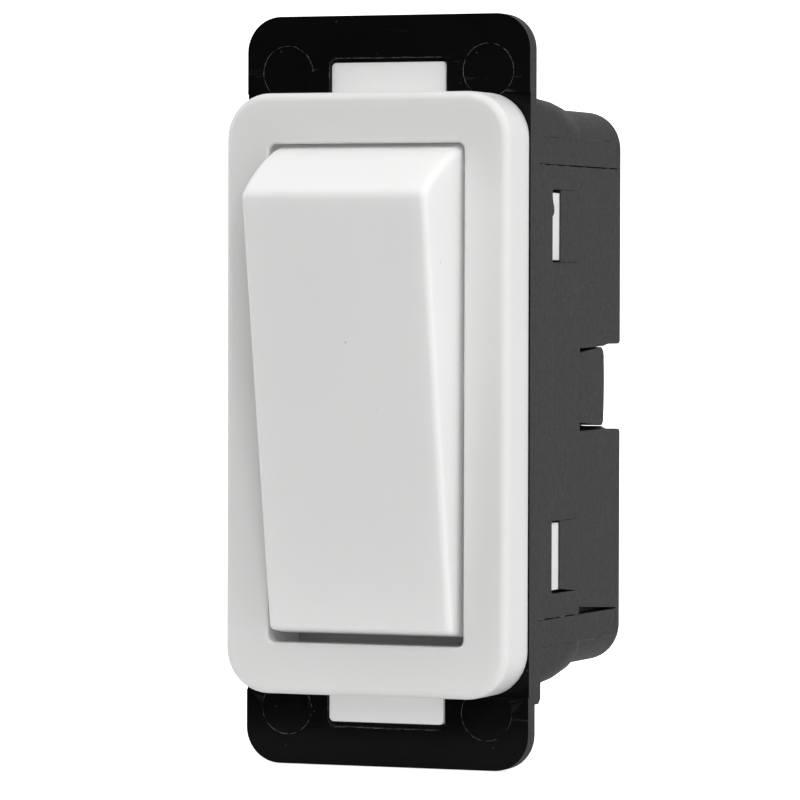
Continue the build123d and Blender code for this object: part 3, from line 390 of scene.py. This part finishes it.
def black_plastic(name):
    """Strap face moulded smooth and nearly black; everything behind it has a fine matte grain
    that reads dark grey. The face's far darker base colour is partly that smooth finish and
    partly painted shade, because the face is turned away from the lights that brighten the sides."""
    mat = Shader(bpy.data.materials.new(name))
    strap_rear = -0.0012      # metres; only surfaces ahead of this count as face
    y = mat.axes(mat.coords)[1]
    normal_y = mat.axes(mat.add("NewGeometry").outputs["True Normal"])[1]
    facing = mat.math("MULTIPLY", normal_y, -1.0)
    front = mat.math("MULTIPLY", mat.ramp(facing, stops=[(0.80, 0.0), (0.97, 1.0)]),
                     mat.math("LESS_THAN", y, strap_rear))
    grain = mat.noise(size=0.30, detail=4.0, rough=0.65)
    pit = mat.noise(size=0.85, detail=3.0, rough=0.6)
    broad = mat.noise(size=14.0, detail=3.0)
    rub = mat.noise(size=5.0, detail=5.0, rough=0.7, stretch=(1, 1, 0.35))
    scratch = mat.noise(size=2.2, detail=6.0, rough=0.75, stretch=(0.12, 1.0, 1.0),
                        distortion=1.2)

    # grained sides: dark and light of the grain, then rubbed patches
    grain_dark, grain_light = (0.0085, 0.0085, 0.0088), (0.031, 0.031, 0.0314)
    rubbed = (0.034, 0.034, 0.0345)
    side = mat.mix(mat.ramp(grain, stops=[(0.30, 0.0), (0.75, 1.0)]), grain_dark, grain_light)
    side = mat.mix(mat.ramp(rub, stops=[(0.52, 0.0), (0.80, 0.16)]), side, rubbed)

    # smooth face: slow cloudiness, fine scratches, then dust
    face_dark, face_light = (0.0026, 0.0026, 0.0029), (0.0044, 0.0044, 0.0047)
    scratch_colour, scratch_strength = (0.040, 0.040, 0.041), 0.45
    dust_colour, dust_strength = (0.075, 0.075, 0.074), 0.5
    face = mat.mix(mat.ramp(broad, stops=[(0.3, 0.0), (0.7, 1.0)]), face_dark, face_light)
    line = mat.ramp(scratch, stops=[(0.635, 0.0), (0.665, 1.0), (0.69, 0.0)])
    face = mat.mix(mat.math("MULTIPLY", line, scratch_strength), face, scratch_colour)
    dust = mat.specks(per_metre=420, stops=[(0.025, 1.0), (0.06, 0.0)])
    face = mat.mix(mat.math("MULTIPLY", dust, dust_strength), face, dust_colour)
    # painted shade: surfaces facing the camera at the strap take the much darker face colour, the
    # sides the lighter grain colour
    mat.set({"Base Color": mat.mix(front, side, face), "IOR": 1.50})

    scratch_rough = 0.18
    side_rough = mat.between(pit, low=0.46, high=0.60)
    face_rough = mat.between(mat.ramp(broad, stops=[(0.3, 0.0), (0.7, 1.0)]),
                             low=0.11, high=0.15)
    face_rough = mat.math("ADD", face_rough, mat.math("MULTIPLY", line, scratch_rough))
    mat.set({"Roughness": mat.between(front, side_rough, face_rough)})
    mat.set({"Specular IOR Level": mat.between(front, low=0.18, high=0.065)})

    # relief: each height is scaled from its side strength (low) to its face strength (high)
    grain_height = mat.math("MULTIPLY", grain, mat.between(front, low=1.0, high=0.10))
    pit_height = mat.math("MULTIPLY", pit, mat.between(front, low=1.0, high=0.15))
    line_height = mat.math("MULTIPLY", line, mat.between(front, low=0.0, high=-1.0))
    mat.bumps([(pit_height, 0.022), (grain_height, 0.016), (line_height, 0.004)])
    return mat.owner


def metal(name, colour, rough, brush=(1, 1, 1), size=0.35, tarnish=(0.35, 0.25, 0.12),
          amount=0.25):
    mat = Shader(bpy.data.materials.new(name))
    grain = mat.noise(size=size, detail=5.0, rough=0.7, stretch=brush)
    stain = mat.noise(size=3.5, detail=4.0, rough=0.6)
    tint = mat.mix(mat.ramp(grain, stops=[(0.3, 0.0), (0.75, 1.0)]), dimmed(colour, 0.86), colour)
    tint = mat.mix(mat.ramp(stain, stops=[(0.50, 0.0), (0.85, amount)]), tint, tarnish)
    mat.set({"Base Color": tint, "Metallic": 1.0,
             "Roughness": mat.between(grain, low=rough - 0.08, high=rough + 0.12)})
    mat.bumps([(stain, 0.006), (grain, 0.004)])
    return mat.owner


def dull(name, dark, light, rough, size, bump, stretch=(1, 1, 1), subsurface=0.0):
    mat = Shader(bpy.data.materials.new(name))
    grain = mat.noise(size=size, detail=5.0, rough=0.65, stretch=stretch)
    stain = mat.noise(size=size * 7, detail=3.0)
    tint = mat.mix(mat.ramp(grain, stops=[(0.3, 0.0), (0.72, 1.0)]), dark, light)
    tint = mat.mix(mat.ramp(stain, stops=[(0.4, 0.0), (0.8, 0.3)]), tint, dimmed(dark, 0.8))
    mat.set({"Base Color": tint,
             "Roughness": mat.between(stain, low=rough - 0.05, high=rough + 0.08)})
    if subsurface:
        mat.set({"Subsurface Weight": subsurface,
                 "Subsurface Radius": (0.0015, 0.0013, 0.001),
                 "Subsurface Scale": 1.0})
    mat.bumps([(grain, bump)])
    return mat.owner


BLACK = black_plastic("black_thermoplastic")
FRAME_WHITE = white_plastic("white_frame_plastic", colour=(0.782, 0.782, 0.776), rough=0.40)
ROCKER_WHITE = white_plastic("white_rocker_plastic", colour=(0.890, 0.890, 0.883), rough=0.36)
BRASS = metal("stamped_brass", colour=(0.80, 0.60, 0.27), rough=0.34, brush=(1, 0.15, 1))
ZINC = metal("zinc_plate", colour=(0.66, 0.66, 0.64), rough=0.36, brush=(1, 1, 0.2),
             tarnish=(0.45, 0.42, 0.30), amount=0.3)
SILVER = metal("silver_contact_alloy", colour=(0.82, 0.81, 0.78), rough=0.30,
               tarnish=(0.30, 0.27, 0.24), amount=0.4)
SPRING = metal("drawn_spring_wire", colour=(0.52, 0.52, 0.53), rough=0.30, size=0.2)
NYLON = dull("natural_nylon", dark=(0.78, 0.74, 0.62), light=(0.86, 0.82, 0.72), rough=0.42,
             size=0.6, bump=0.004, subsurface=0.3)
PHENOLIC = dull("phenolic_base", dark=(0.035, 0.024, 0.018), light=(0.085, 0.060, 0.045),
                rough=0.42, size=0.45, bump=0.012)
FIBRE = dull("vulcanised_fibre", dark=(0.33, 0.20, 0.12), light=(0.48, 0.31, 0.20), rough=0.62,
             size=0.35, bump=0.02, stretch=(1, 1, 0.25))
RUBBER = dull("stop_elastomer", dark=(0.018, 0.018, 0.018), light=(0.035, 0.035, 0.036),
              rough=0.72, size=0.4, bump=0.015)


def set_material(ob, material):
    if len(ob.material_slots) == 0:
        ob.data.materials.append(material)
    else:
        for slot in ob.material_slots:
            slot.material = material


def fit(ob, material, part, replaces=None):
    set_material(ob, material)
    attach(ob, part)
    if replaces:
        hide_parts(replaces)


# ------------------------------------------------------------------ white frame
FACE_EDGE_R = 0.95           # front edge of the face
REAR_EDGE_R = 0.12           # rear edge of the outer wall
OPEN_EDGE_R = 0.32           # face into the opening
WELL_CHAMFER = 0.15

# Hooded lip behind each end of the well: (y, distance from the middle in z)
LIP = [(0.3, 28.35), (0.3, 29.15), (3.5, 29.15), (3.5, 26.8), (3.1, 26.8), (3.1, 28.35)]
# Latch leg: (distance from the middle in x, y)
LEG = [(13.7, -7.2), (15.4, -7.2), (15.4, 5.38), (16.85, 5.38), (16.85, 7.72), (16.6, 7.84),
       (14.1, 7.84), (13.7, 7.0)]
LEG_MID_Z, LEG_HALF_H = 18.46, 3.76
# Tongues above and below: z from, z to, front y, rear y, far z of the root
TONGUES = [(31.95, 36.7, -1.85, -0.35, 33.0), (-37.04, -32.0, -2.15, -0.6, -33.5)]
TONGUE_HALF_W, TONGUE_R, TONGUE_EDGE_R = 6.85, 0.55, 0.14
FOOT_X, FOOT_Z, FOOT_HALF_W, FOOT_HALF_H = 15.9, 26, 0.7, 1.5


def bezel_outline(inset):
    half_w, half_h = BEZEL_W / 2, BEZEL_H / 2
    return rounded_rect(-half_w + inset, half_w - inset, BEZEL_MID_Z - half_h + inset,
                        BEZEL_MID_Z + half_h - inset, BEZEL_R - inset)


def opening_outline(grow):
    return rounded_rect(-OPEN_HALF_W - grow, OPEN_HALF_W + grow, OPEN_BOTTOM - grow,
                        OPEN_TOP + grow, OPEN_R + grow)


def well_outline(half_w, half_h, radius):
    return rounded_rect(-half_w, half_w, -half_h, half_h, radius)


def frame_shell():
    """Outer wall, face, opening and well, as one closed skin."""
    # outer wall, from its rear edge forward
    rings = [ring_at(BEZEL_REAR - along, bezel_outline(inset))
             for inset, along in quarter(REAR_EDGE_R, 3)]
    wall_rear, wall_front = BEZEL_REAR - REAR_EDGE_R, BEZEL_FRONT + 1.0
    for t in (0.2, 0.45, 0.7, 0.9):
        rings.append(ring_at(wall_rear + (wall_front - wall_rear) * t, bezel_outline(0)))
    for back, inset in quarter(FACE_EDGE_R, 12):
        rings.append(ring_at(BEZEL_FRONT + back, bezel_outline(inset)))
    # flat face, then the small radius into the opening
    outer, inner = bezel_outline(FACE_EDGE_R), opening_outline(OPEN_EDGE_R)
    for t in (0.04, 0.2, 0.4, 0.6, 0.8, 0.96):
        rings.append(ring_at(BEZEL_FRONT, [(p[0] + (q[0] - p[0]) * t, p[1] + (q[1] - p[1]) * t)
                                           for p, q in zip(outer, inner)]))
    for grow, back in quarter(OPEN_EDGE_R, 8):
        rings.append(ring_at(BEZEL_FRONT + back, opening_outline(grow)))
    # opening wall, undercut behind the face at both ends
    for y in (BEZEL_FRONT + 0.8, BEZEL_FRONT + 1.4, UNDER_FACE):
        rings.append(ring_at(y, opening_outline(0)))
    chamfer_y = WELL_REAR - WELL_CHAMFER
    for y in (UNDER_FACE + 0.05, -5.0, -2.0, chamfer_y):
        rings.append(ring_at(y, well_outline(OPEN_HALF_W, WELL_IN_HALF_H, 0.3)))
    rings.append(ring_at(WELL_REAR, well_outline(
        OPEN_HALF_W + WELL_CHAMFER, WELL_IN_HALF_H + WELL_CHAMFER, 0.3)))
    # outside of the well
    rings.append(ring_at(WELL_REAR, well_outline(
        WELL_HALF_W - WELL_CHAMFER, WELL_HALF_H - WELL_CHAMFER, 0.15)))
    for y in (chamfer_y, -2.5, UNDER_FACE):
        rings.append(ring_at(y, well_outline(WELL_HALF_W, WELL_HALF_H, 0.02)))
    # underside of the face, inside of the outer wall
    for y in (UNDER_FACE, -5.0, -3.0, wall_rear):
        rings.append(ring_at(y, bezel_outline(BEZEL_WALL)))
    rings.append(ring_at(BEZEL_REAR, bezel_outline(BEZEL_WALL - REAR_EDGE_R)))
    return loft("frame_body", rings, closed=True)


def cut_bearing_slots(body):
    """Keyhole slots for the trunnions, open at the rear."""
    radius, half_neck = 1.61, 1.3
    neck = math.asin(half_neck / radius)
    outline = [(WELL_REAR + 0.4, -half_neck), (WELL_REAR + 0.4, half_neck)]
    outline += arc(PIVOT_Y, 0, radius, neck, 2 * math.pi - neck, 40)
    reach = WELL_HALF_W + 0.3
    boolean(body, prism("cut", outline, -reach, reach, "X"), "DIFFERENCE")


def add_tongue(body, z0, z1, front, rear, root_z):
    """Tongue in a strap window: rounded corners, softened front edges, and a root
    towards the middle, held just inside the tongue's outline."""
    upper = z0 > 0
    rings = [ring_at(rear, rounded_rect(-TONGUE_HALF_W, TONGUE_HALF_W, z0, z1, TONGUE_R))]
    for back, inset in quarter(TONGUE_EDGE_R, 4):
        rings.append(ring_at(front + back, rounded_rect(
            -TONGUE_HALF_W + inset, TONGUE_HALF_W - inset, z0 + (0 if upper else inset),
            z1 - (inset if upper else 0), TONGUE_R - inset)))
    boolean(body, loft("tongue", rings))
    gap = 0.01
    root_span = (z0 + gap, root_z) if upper else (root_z, z1 - gap)
    root = rect(-TONGUE_HALF_W + gap, TONGUE_HALF_W - gap, *root_span)
    boolean(body, prism("root", root, -2.35, front + 0.4, "Y"))


def build_frame():
    body = frame_shell()
    cut_bearing_slots(body)
    # no light or dust gets past the rocker behind these lips
    for end in SIDES:
        boolean(body, prism("lip", [(y, end * z) for y, z in LIP], -13.3, 13.3, "X"))
    for side in SIDES:
        for end in SIDES:
            mid_z = end * LEG_MID_Z
            boolean(body, prism("leg", [(side * x, y) for x, y in LEG], mid_z - LEG_HALF_H,
                                mid_z + LEG_HALF_H, "Z", bevel=0.10))
    for tongue in TONGUES:
        add_tongue(body, *tongue)
    for side in SIDES:
        for end in SIDES:
            x, z = side * FOOT_X, end * FOOT_Z
            outline = rect(x - FOOT_HALF_W, x + FOOT_HALF_W, z - FOOT_HALF_H, z + FOOT_HALF_H)
            boolean(body, prism("foot", outline, -2.4, -1.905, "Y"))
    shade(body)
    return body


# ------------------------------------------------------------------ rocker
TOP_CORNER_R, BOTTOM_CORNER_R = 0.95, 0.55
INNER_HALF_W = 9.2
EDGE_DEPTH_SHARE = 0.92      # the face edge round is a little shallower than wide
RIB_HALF_T, RIB_HALF_W, RIB_HALF_H = 0.55, 9.3, 23.0
RIB_START = ROCK_INNER - 0.2   # ribs and stem start inside the face wall


def end_curve(*points):
    """Half height as a function of depth, on the arc through three (depth, height) points."""
    sizes = [depth * depth + height * height for depth, height in points]
    height_gaps = [points[i - 2][1] - points[i - 1][1] for i in range(3)]
    depth_gaps = [points[i - 1][0] - points[i - 2][0] for i in range(3)]
    scale = 2 * sum(p[0] * gap for p, gap in zip(points, height_gaps))
    mid_depth = sum(size * gap for size, gap in zip(sizes, height_gaps)) / scale
    mid_height = sum(size * gap for size, gap in zip(sizes, depth_gaps)) / scale
    radius = math.hypot(points[0][0] - mid_depth, points[0][1] - mid_height)
    return lambda depth: mid_height + math.sqrt(radius * radius - (depth - mid_depth) ** 2)


def rocker_ring(half_w, top, bottom, radius, depth):
    """Rounded ring in the rocker's axes, turned into place; bottom is measured downwards."""
    cos, sin = math.cos(TILT), math.sin(TILT)
    return [(x, PIVOT_Y + depth * cos - height * sin, depth * sin + height * cos)
            for x, height in rounded_rect(-half_w, half_w, -bottom, top, radius, (16, 34))]


def rocker_prism(outline, low, high, axis):
    """Prism drawn in the rocker's axes, turned into place."""
    ob = prism("rocker_part", outline, low, high, axis)
    turn = Matrix.Rotation(TILT, 4, "X")
    ob.data.transform(Matrix.Translation((0, PIVOT_Y * MM, 0)) @ turn)
    return ob


def rocker_shell():
    base = (ROCK_BASE, ROCK_BASE_HALF_H)
    top = end_curve((ROCK_FACE, ROCK_FACE_HALF_H), (-5.2, 26.5), base)
    # the lower end stands a little prouder at its face edge than the upper one
    bottom = end_curve((ROCK_FACE, 24.8), (-7.0, 26.1), base)
    inner = end_curve((ROCK_INNER, ROCK_FACE_HALF_H - 1.5), (-4.5, 24.8),
                      (ROCK_BASE, ROCK_BASE_HALF_H - 1.7))

    def half_width(depth):
        share = (depth - ROCK_FACE) / (ROCK_BASE - ROCK_FACE)
        return ROCK_FACE_HALF_W + (ROCK_BASE_HALF_W - ROCK_FACE_HALF_W) * share

    rings = []
    # face centre out to the edge, with a barely visible dish
    for t in (0.35, 0.6, 0.8, 0.92):
        rings.append(rocker_ring(
            (ROCK_FACE_HALF_W - ROCK_EDGE_R) * t, (top(ROCK_FACE) - ROCK_EDGE_R) * t,
            (bottom(ROCK_FACE) - ROCK_EDGE_R * 0.5) * t, 0.05 + 0.02 * t,
            ROCK_FACE + 0.02 * (1 - t)))
    for inset, back in quarter(ROCK_EDGE_R, 12):
        depth = ROCK_FACE + back * EDGE_DEPTH_SHARE
        radii = (TOP_CORNER_R - inset, max(BOTTOM_CORNER_R - inset * 0.6, 0.1))
        rings.append(rocker_ring(half_width(depth) - inset, top(depth) - inset,
                                 bottom(depth) - inset * 0.5, radii, depth))
    # side walls back to the rim
    side_start = ROCK_FACE + ROCK_EDGE_R * EDGE_DEPTH_SHARE
    for k in range(1, 27):
        depth = side_start + (ROCK_BASE - side_start) * k / 26
        rings.append(rocker_ring(half_width(depth), top(depth), bottom(depth),
                                 (TOP_CORNER_R, BOTTOM_CORNER_R), depth))
    # rim, and the inside back up to the face
    for k in range(13):
        depth = ROCK_BASE + (ROCK_INNER - ROCK_BASE) * k / 12
        rings.append(rocker_ring(INNER_HALF_W, inner(depth), inner(depth), 0.5, depth))
    return loft("rocker_paddle", rings)


def build_rocker():
    paddle = rocker_shell()
    for height in (-16.0, -8.0, 8.0, 16.0):
        rib = rect(-RIB_HALF_W, RIB_HALF_W, height - RIB_HALF_T, height + RIB_HALF_T)
        boolean(paddle, rocker_prism(rib, RIB_START, -4.0, "Y"))
    for x in (-5.0, 5.0):
        rib = rect(x - RIB_HALF_T, x + RIB_HALF_T, -RIB_HALF_H, RIB_HALF_H)
        boolean(paddle, rocker_prism(rib, RIB_START, -4.05, "Y"))
    ear = [(-3.5, -4.0), (1.5, -4.0), *arc(0, 0, 3.4, -1.05, 1.05, 16), (1.5, 4.0), (-3.5, 4.0)]
    trunnion = circle(1.55, 48)
    for side in SIDES:
        boolean(paddle, rocker_prism(ear, *sorted((side * 9.1, side * 11.2)), "X"))
        boolean(paddle, rocker_prism(trunnion, *sorted((side * 11.0, side * 13.2)), "X"))
    # stem with its spring bore
    boolean(paddle, rocker_prism(circle(3.3, 64), RIB_START, 3.0, "Y"))
    boolean(paddle, rocker_prism(circle(2.0, 48), -8.0, 3.5, "Y"), "DIFFERENCE")
    shade(paddle)
    return paddle


fit(build_frame(), FRAME_WHITE, "housing", replaces="bezel_frame")
fit(build_rocker(), ROCKER_WHITE, "rocker_body", replaces="rocker")

# ------------------------------------------------------------------ black housing
for node, name, edge_r in (("front_housing", "front_shell", 0.07),
                           ("rear_housing", "rear_shell", 0.07),
                           ("mechanism_cover", "centre_cover", 0.10)):
    fit(refine(node, name, edge_r), BLACK, "housing", replaces=node)


# ------------------------------------------------------------------ moulding flash
def subdivide(points, step=0.16):
    dense = []
    for p, q in zip(points[:-1], points[1:]):
        count = max(1, int(math.dist(p, q) / step))
        dense += [tuple(p[i] + (q[i] - p[i]) * k / count for i in range(3)) for k in range(count)]
    return dense + [points[-1]]


def add_tube(bm, run, radius, jitter, rng):
    """Uneven six-sided tube along a run of points, thin at both ends."""
    previous = None
    last = len(run) - 1
    for k, centre in enumerate(run):
        along = Vector(run[min(k + 1, last)]) - Vector(run[max(k - 1, 0)])
        along.normalize()
        # the slight lean keeps the cross product stable along Y
        side = along.cross(Vector((0, 1, 0.013)))
        if side.length < 0.2:
            side = along.cross(Vector((1, 0, 0)))
        side.normalize()
        other = along.cross(side)
        width = radius * (0.35 + 0.95 * rng.random()) * (0.25 if k in (0, last) else 1.0)
        middle = Vector(centre) + side * rng.uniform(-jitter, jitter)
        angles = [2 * math.pi * j / 6 for j in range(6)]
        current = [bm.verts.new((middle + side * (width * math.cos(a))
                                 + other * (width * math.sin(a))) * MM) for a in angles]
        if previous:
            for j in range(6):
                after = (j + 1) % 6
                bm.faces.new((previous[j], previous[after], current[after], current[j]))
        else:
            bm.faces.new(list(reversed(current)))
        previous = current
    bm.faces.new(previous)


def ragged(name, paths, seed):
    """Thin uneven moulding flash: broken tubes along paths (mm).
    Each path is (points, radius, share drawn, sideways jitter)."""
    rng = random.Random(seed)
    bm = bmesh.new()
    for points, radius, share, jitter in paths:
        dense = subdivide(points)
        i = 0
        while i < len(dense) - 2:
            length = rng.randint(3, 16)
            drawn = rng.random() <= share
            run = dense[i:i + length]
            i += length
            if drawn and len(run) >= 3:
                add_tube(bm, run, radius, jitter, rng)
    bmesh.ops.recalc_face_normals(bm, faces=bm.faces)
    return link(name, bm)


def strap_paths():
    """Rims of the strap's round holes, its end edges, and the sides of its windows."""
    paths = []
    for hole_x in (12.0, -12.0):
        for hole_z in (35.65, -35.65):
            for hole_r, radius, share in ((3.0, 0.028, 0.75), (2.93, 0.016, 0.25)):
                rim = arc(hole_x, hole_z, hole_r, 0, 2 * math.pi, 72)
                paths.append((ring_at(-2.085, rim), radius, share, 0.012))
    for z, share in ((37.2, 0.9), (-37.66, 0.8)):
        low_z = z - math.copysign(0.02, z)
        paths.append(([(-6.4, -2.085, z), (6.4, -2.085, z)], 0.035, share, 0.02))
        paths.append(([(-6.4, -1.5, low_z), (6.4, -1.5, low_z)], 0.04, 0.5, 0.03))
    for x in (-7.05, 7.05):
        for z0, z1 in ((33.4, 36.6), (-37.1, -33.4)):
            paths.append(([(x, -2.08, z0), (x, -2.08, z1)], 0.03, 0.7, 0.015))
    return paths


# Straight flash on the housing's sides: y, z, end y, end z, radius, share drawn, jitter
SIDE_LINES = [
    (1.2, 28.43, 26.9, 28.43, 0.026, 0.90, 0.012),
    (1.2, -28.43, 26.9, -28.43, 0.030, 0.92, 0.018),
    (1.4, -25.30, 14.2, -25.30, 0.045, 0.50, 0.04),
    (1.4, 25.30, 14.2, 25.30, 0.030, 0.35, 0.03),
    (15.0, 25.30, 26.4, 25.30, 0.030, 0.30, 0.03),
    (14.46, -12.9, 14.46, 12.9, 0.026, 0.93, 0.01),
    (14.46, 24.2, 14.46, 25.2, 0.024, 0.90, 0.01),
    (14.46, -25.2, 14.46, -24.2, 0.024, 0.90, 0.01),
]
SIDE_X = 16.87
# Torn flash over the front edge of the upper right barb: (y, z)
TORN = [(5.15, 21.95), (5.42, 21.7), (5.62, 21.1), (5.90, 20.7), (5.98, 20.3), (5.86, 19.9),
        (5.50, 19.62), (5.15, 19.5)]


def side_paths():
    bend_y, bend_r = 12.93, 1.5
    paths = []
    for x in (SIDE_X, -SIDE_X):
        for y0, z0, y1, z1, *look in SIDE_LINES:
            paths.append(([(x, y0, z0), (x, y1, z1)], *look))
        # edges that run back and then bend away in z
        for end in SIDES:
            for z, bend in ((14.44, -1), (22.62, 1)):
                curve = [(x, bend_y + bend_r * math.sin(a),
                          end * (z + bend * bend_r * (1 - math.cos(a))))
                         for a in [math.pi / 2 * i / 8 for i in range(9)]]
                paths.append(([(x, 8.2, end * z)] + curve, 0.022, 0.8, 0.008))
    return paths


# flash on the strap's hole rims, end edges and window sides, drawn light grey partly as painted
# highlight where those edges catch light
RIM_FLASH_HIGHLIGHT = dull("rim_flash_and_painted_highlight", dark=(0.045, 0.045, 0.046), light=(0.15, 0.15, 0.15), rough=0.6,
           size=0.3, bump=0.004)
fit(ragged("strap_flash", strap_paths(), seed=5), RIM_FLASH_HIGHLIGHT, "housing")
# flash along the side seams and steps, drawn light grey partly as ragged flecks and partly as
# painted highlight along those edges
SIDE_FLASH_HIGHLIGHT = dull("flash_fleck_and_painted_highlight", dark=(0.05, 0.05, 0.05), light=(0.22, 0.22, 0.218), rough=0.6,
             size=0.25, bump=0.004)
fit(prism("torn_flash", TORN, 16.30, 16.905, "X", bevel=0.05, segments=2), BLACK,
    "housing")
fit(ragged("side_flash", side_paths(), seed=9), SIDE_FLASH_HIGHLIGHT, "housing")

# ------------------------------------------------------------------ CAD pieces kept as they are
CAD_MATERIALS = (
    (NYLON, ("plunger",)),
    (SPRING, ("plunger_spring",)),
    (BRASS, ("contact_rocker", "line_busbar", "load_busbar", "line_terminal_block",
             "load_terminal_block")),
    (SILVER, ("moving_contact_tip", "fixed_contact_tip")),
    (PHENOLIC, ("mechanism_base",)),
    (FIBRE, ("arc_barrier",)),
    (RUBBER, ("contact_stop",)),
    (ZINC, ("line_terminal_screws", "load_terminal_screws", "line_clamp_plates",
            "load_clamp_plates")),
)
for material, nodes in CAD_MATERIALS:
    for node in nodes:
        set_material(frame["nodes"][node], material)


# ------------------------------------------------------------------ floor (metres)
def floor_material():
    """Bright to the camera, mid grey to bounced light."""
    mat = Shader(bpy.data.materials.new("pale_floor"))
    clouds = mat.noise(size=60.0, detail=2.0)
    tint = mat.mix(clouds, (0.90, 0.90, 0.90), (0.93, 0.93, 0.93))
    seen = mat.add("LightPath").outputs["Is Camera Ray"]
    bounce_grey, seen_glow = (0.62, 0.62, 0.62), 0.60
    mat.set({"Base Color": mat.mix(seen, bounce_grey, tint), "Roughness": 0.9,
             "Specular IOR Level": 0.1})
    # the sweep behind the object glows slightly, as a lit backdrop does
    y = mat.axes(mat.coords)[1]
    far = mat.smooth_range(y, source=(0.10, 0.60), target=(0.26, 0.45))
    glow = mat.math("ADD", far, mat.math("MULTIPLY", seen, seen_glow))
    mat.set({"Emission Color": tint, "Emission Strength": glow})
    return mat.owner


def build_floor():
    """Flat floor that sweeps up into a wall behind the switch."""
    half_w, sweep_y, sweep_r, wall_top = 3.0, 1.2, 0.8, 2.6
    floor_z = CAD_BOX[0][2] - 0.0001
    wall_y = sweep_y + sweep_r
    profile = [(y, floor_z) for y in (-0.047, 0.12, 0.3)]
    profile += [(wall_y - across, floor_z + rise) for across, rise in quarter(sweep_r, 16)]
    profile.append((wall_y, floor_z + wall_top))
    bm = bmesh.new()
    left, right = [[bm.verts.new((x, y, z)) for y, z in profile] for x in (-half_w, half_w)]
    for k in range(len(profile) - 1):
        bm.faces.new((left[k], right[k], right[k + 1], left[k + 1]))
    return link("studio_floor", bm)


floor = build_floor()
set_material(floor, floor_material())

# ------------------------------------------------------------------ world
scene.world = bpy.data.worlds.new("studio")
sky = Shader(scene.world, shader="Background", output="OutputWorld", coords="Generated")
# soft white all round, fading to dark in the direction DARK_SIDE
DARK_SIDE = (-0.37, -0.93, 0.0)
toward_dark = sky.add("VectorMath", {0: sky.coords, 1: DARK_SIDE}, operation="DOT_PRODUCT")
surround = sky.smooth_range(toward_dark.outputs["Value"], source=(0.66, 0.90),
                            target=(0.69, 0.028))
# the camera sees a plain white studio behind everything
camera_ray = sky.add("LightPath").outputs["Is Camera Ray"]
sky.set({"Strength": sky.between(camera_ray, low=surround, high=1.15), "Color": (1, 1, 1)})

# ------------------------------------------------------------------ lights
# name, place, target, side of the square, watts
LIGHTS = [
    ("key_right", (0.95, -0.25, 0.35), (0, 0, 0), 0.7, 1.6),
    ("top", (0.1, -0.3, 1.0), (0, 0, 0), 0.8, 1.7),
    ("front_high", (0.45, -0.85, 0.40), (0, 0, 0), 0.5, 2.80),
    ("left_fill", (-0.80, -0.12, 0.25), (0, 0, 0), 0.5, 1.3),
    ("near_top", (0.04, -0.25, 0.36), (0, 0, 0.01), 0.16, 0.16),
]
for name, place, target, size, power in LIGHTS:
    light = bpy.data.lights.new(name, "AREA")
    light.shape = "RECTANGLE"
    light.size = light.size_y = size
    light.energy = power
    lamp = bpy.data.objects.new(name, light)
    scene.collection.objects.link(lamp)
    lamp.location = place
    lamp.rotation_euler = (Vector(target) - Vector(place)).to_track_quat("-Z", "Y").to_euler()

# ------------------------------------------------------------------ camera
CAMERA_PLACE = (0.219076, -0.550679, 0.011531)
# yaw to the left of +Y, pitch downwards, roll
yaw, pitch, roll = (math.radians(angle) for angle in (21.627, 1.21, 0.149))
ahead = Vector((-math.sin(yaw) * math.cos(pitch), math.cos(yaw) * math.cos(pitch),
                -math.sin(pitch)))
level = Vector((math.cos(yaw), math.sin(yaw), 0))
rise = level.cross(ahead)
right = math.cos(roll) * level + math.sin(roll) * rise
up = -math.sin(roll) * level + math.cos(roll) * rise

camera = bpy.data.cameras.new("camera")
camera.sensor_width = 36.0
camera.lens = 238.3785
camera.clip_start = 0.01
camera.clip_end = 20
camera_object = bpy.data.objects.new("camera", camera)
scene.collection.objects.link(camera_object)
camera_object.matrix_world = Matrix([*zip(right, up, -ahead, CAMERA_PLACE), (0, 0, 0, 1)])
scene.camera = camera_object
scene.view_settings.view_transform = "Standard"
scene.view_settings.look = "None"
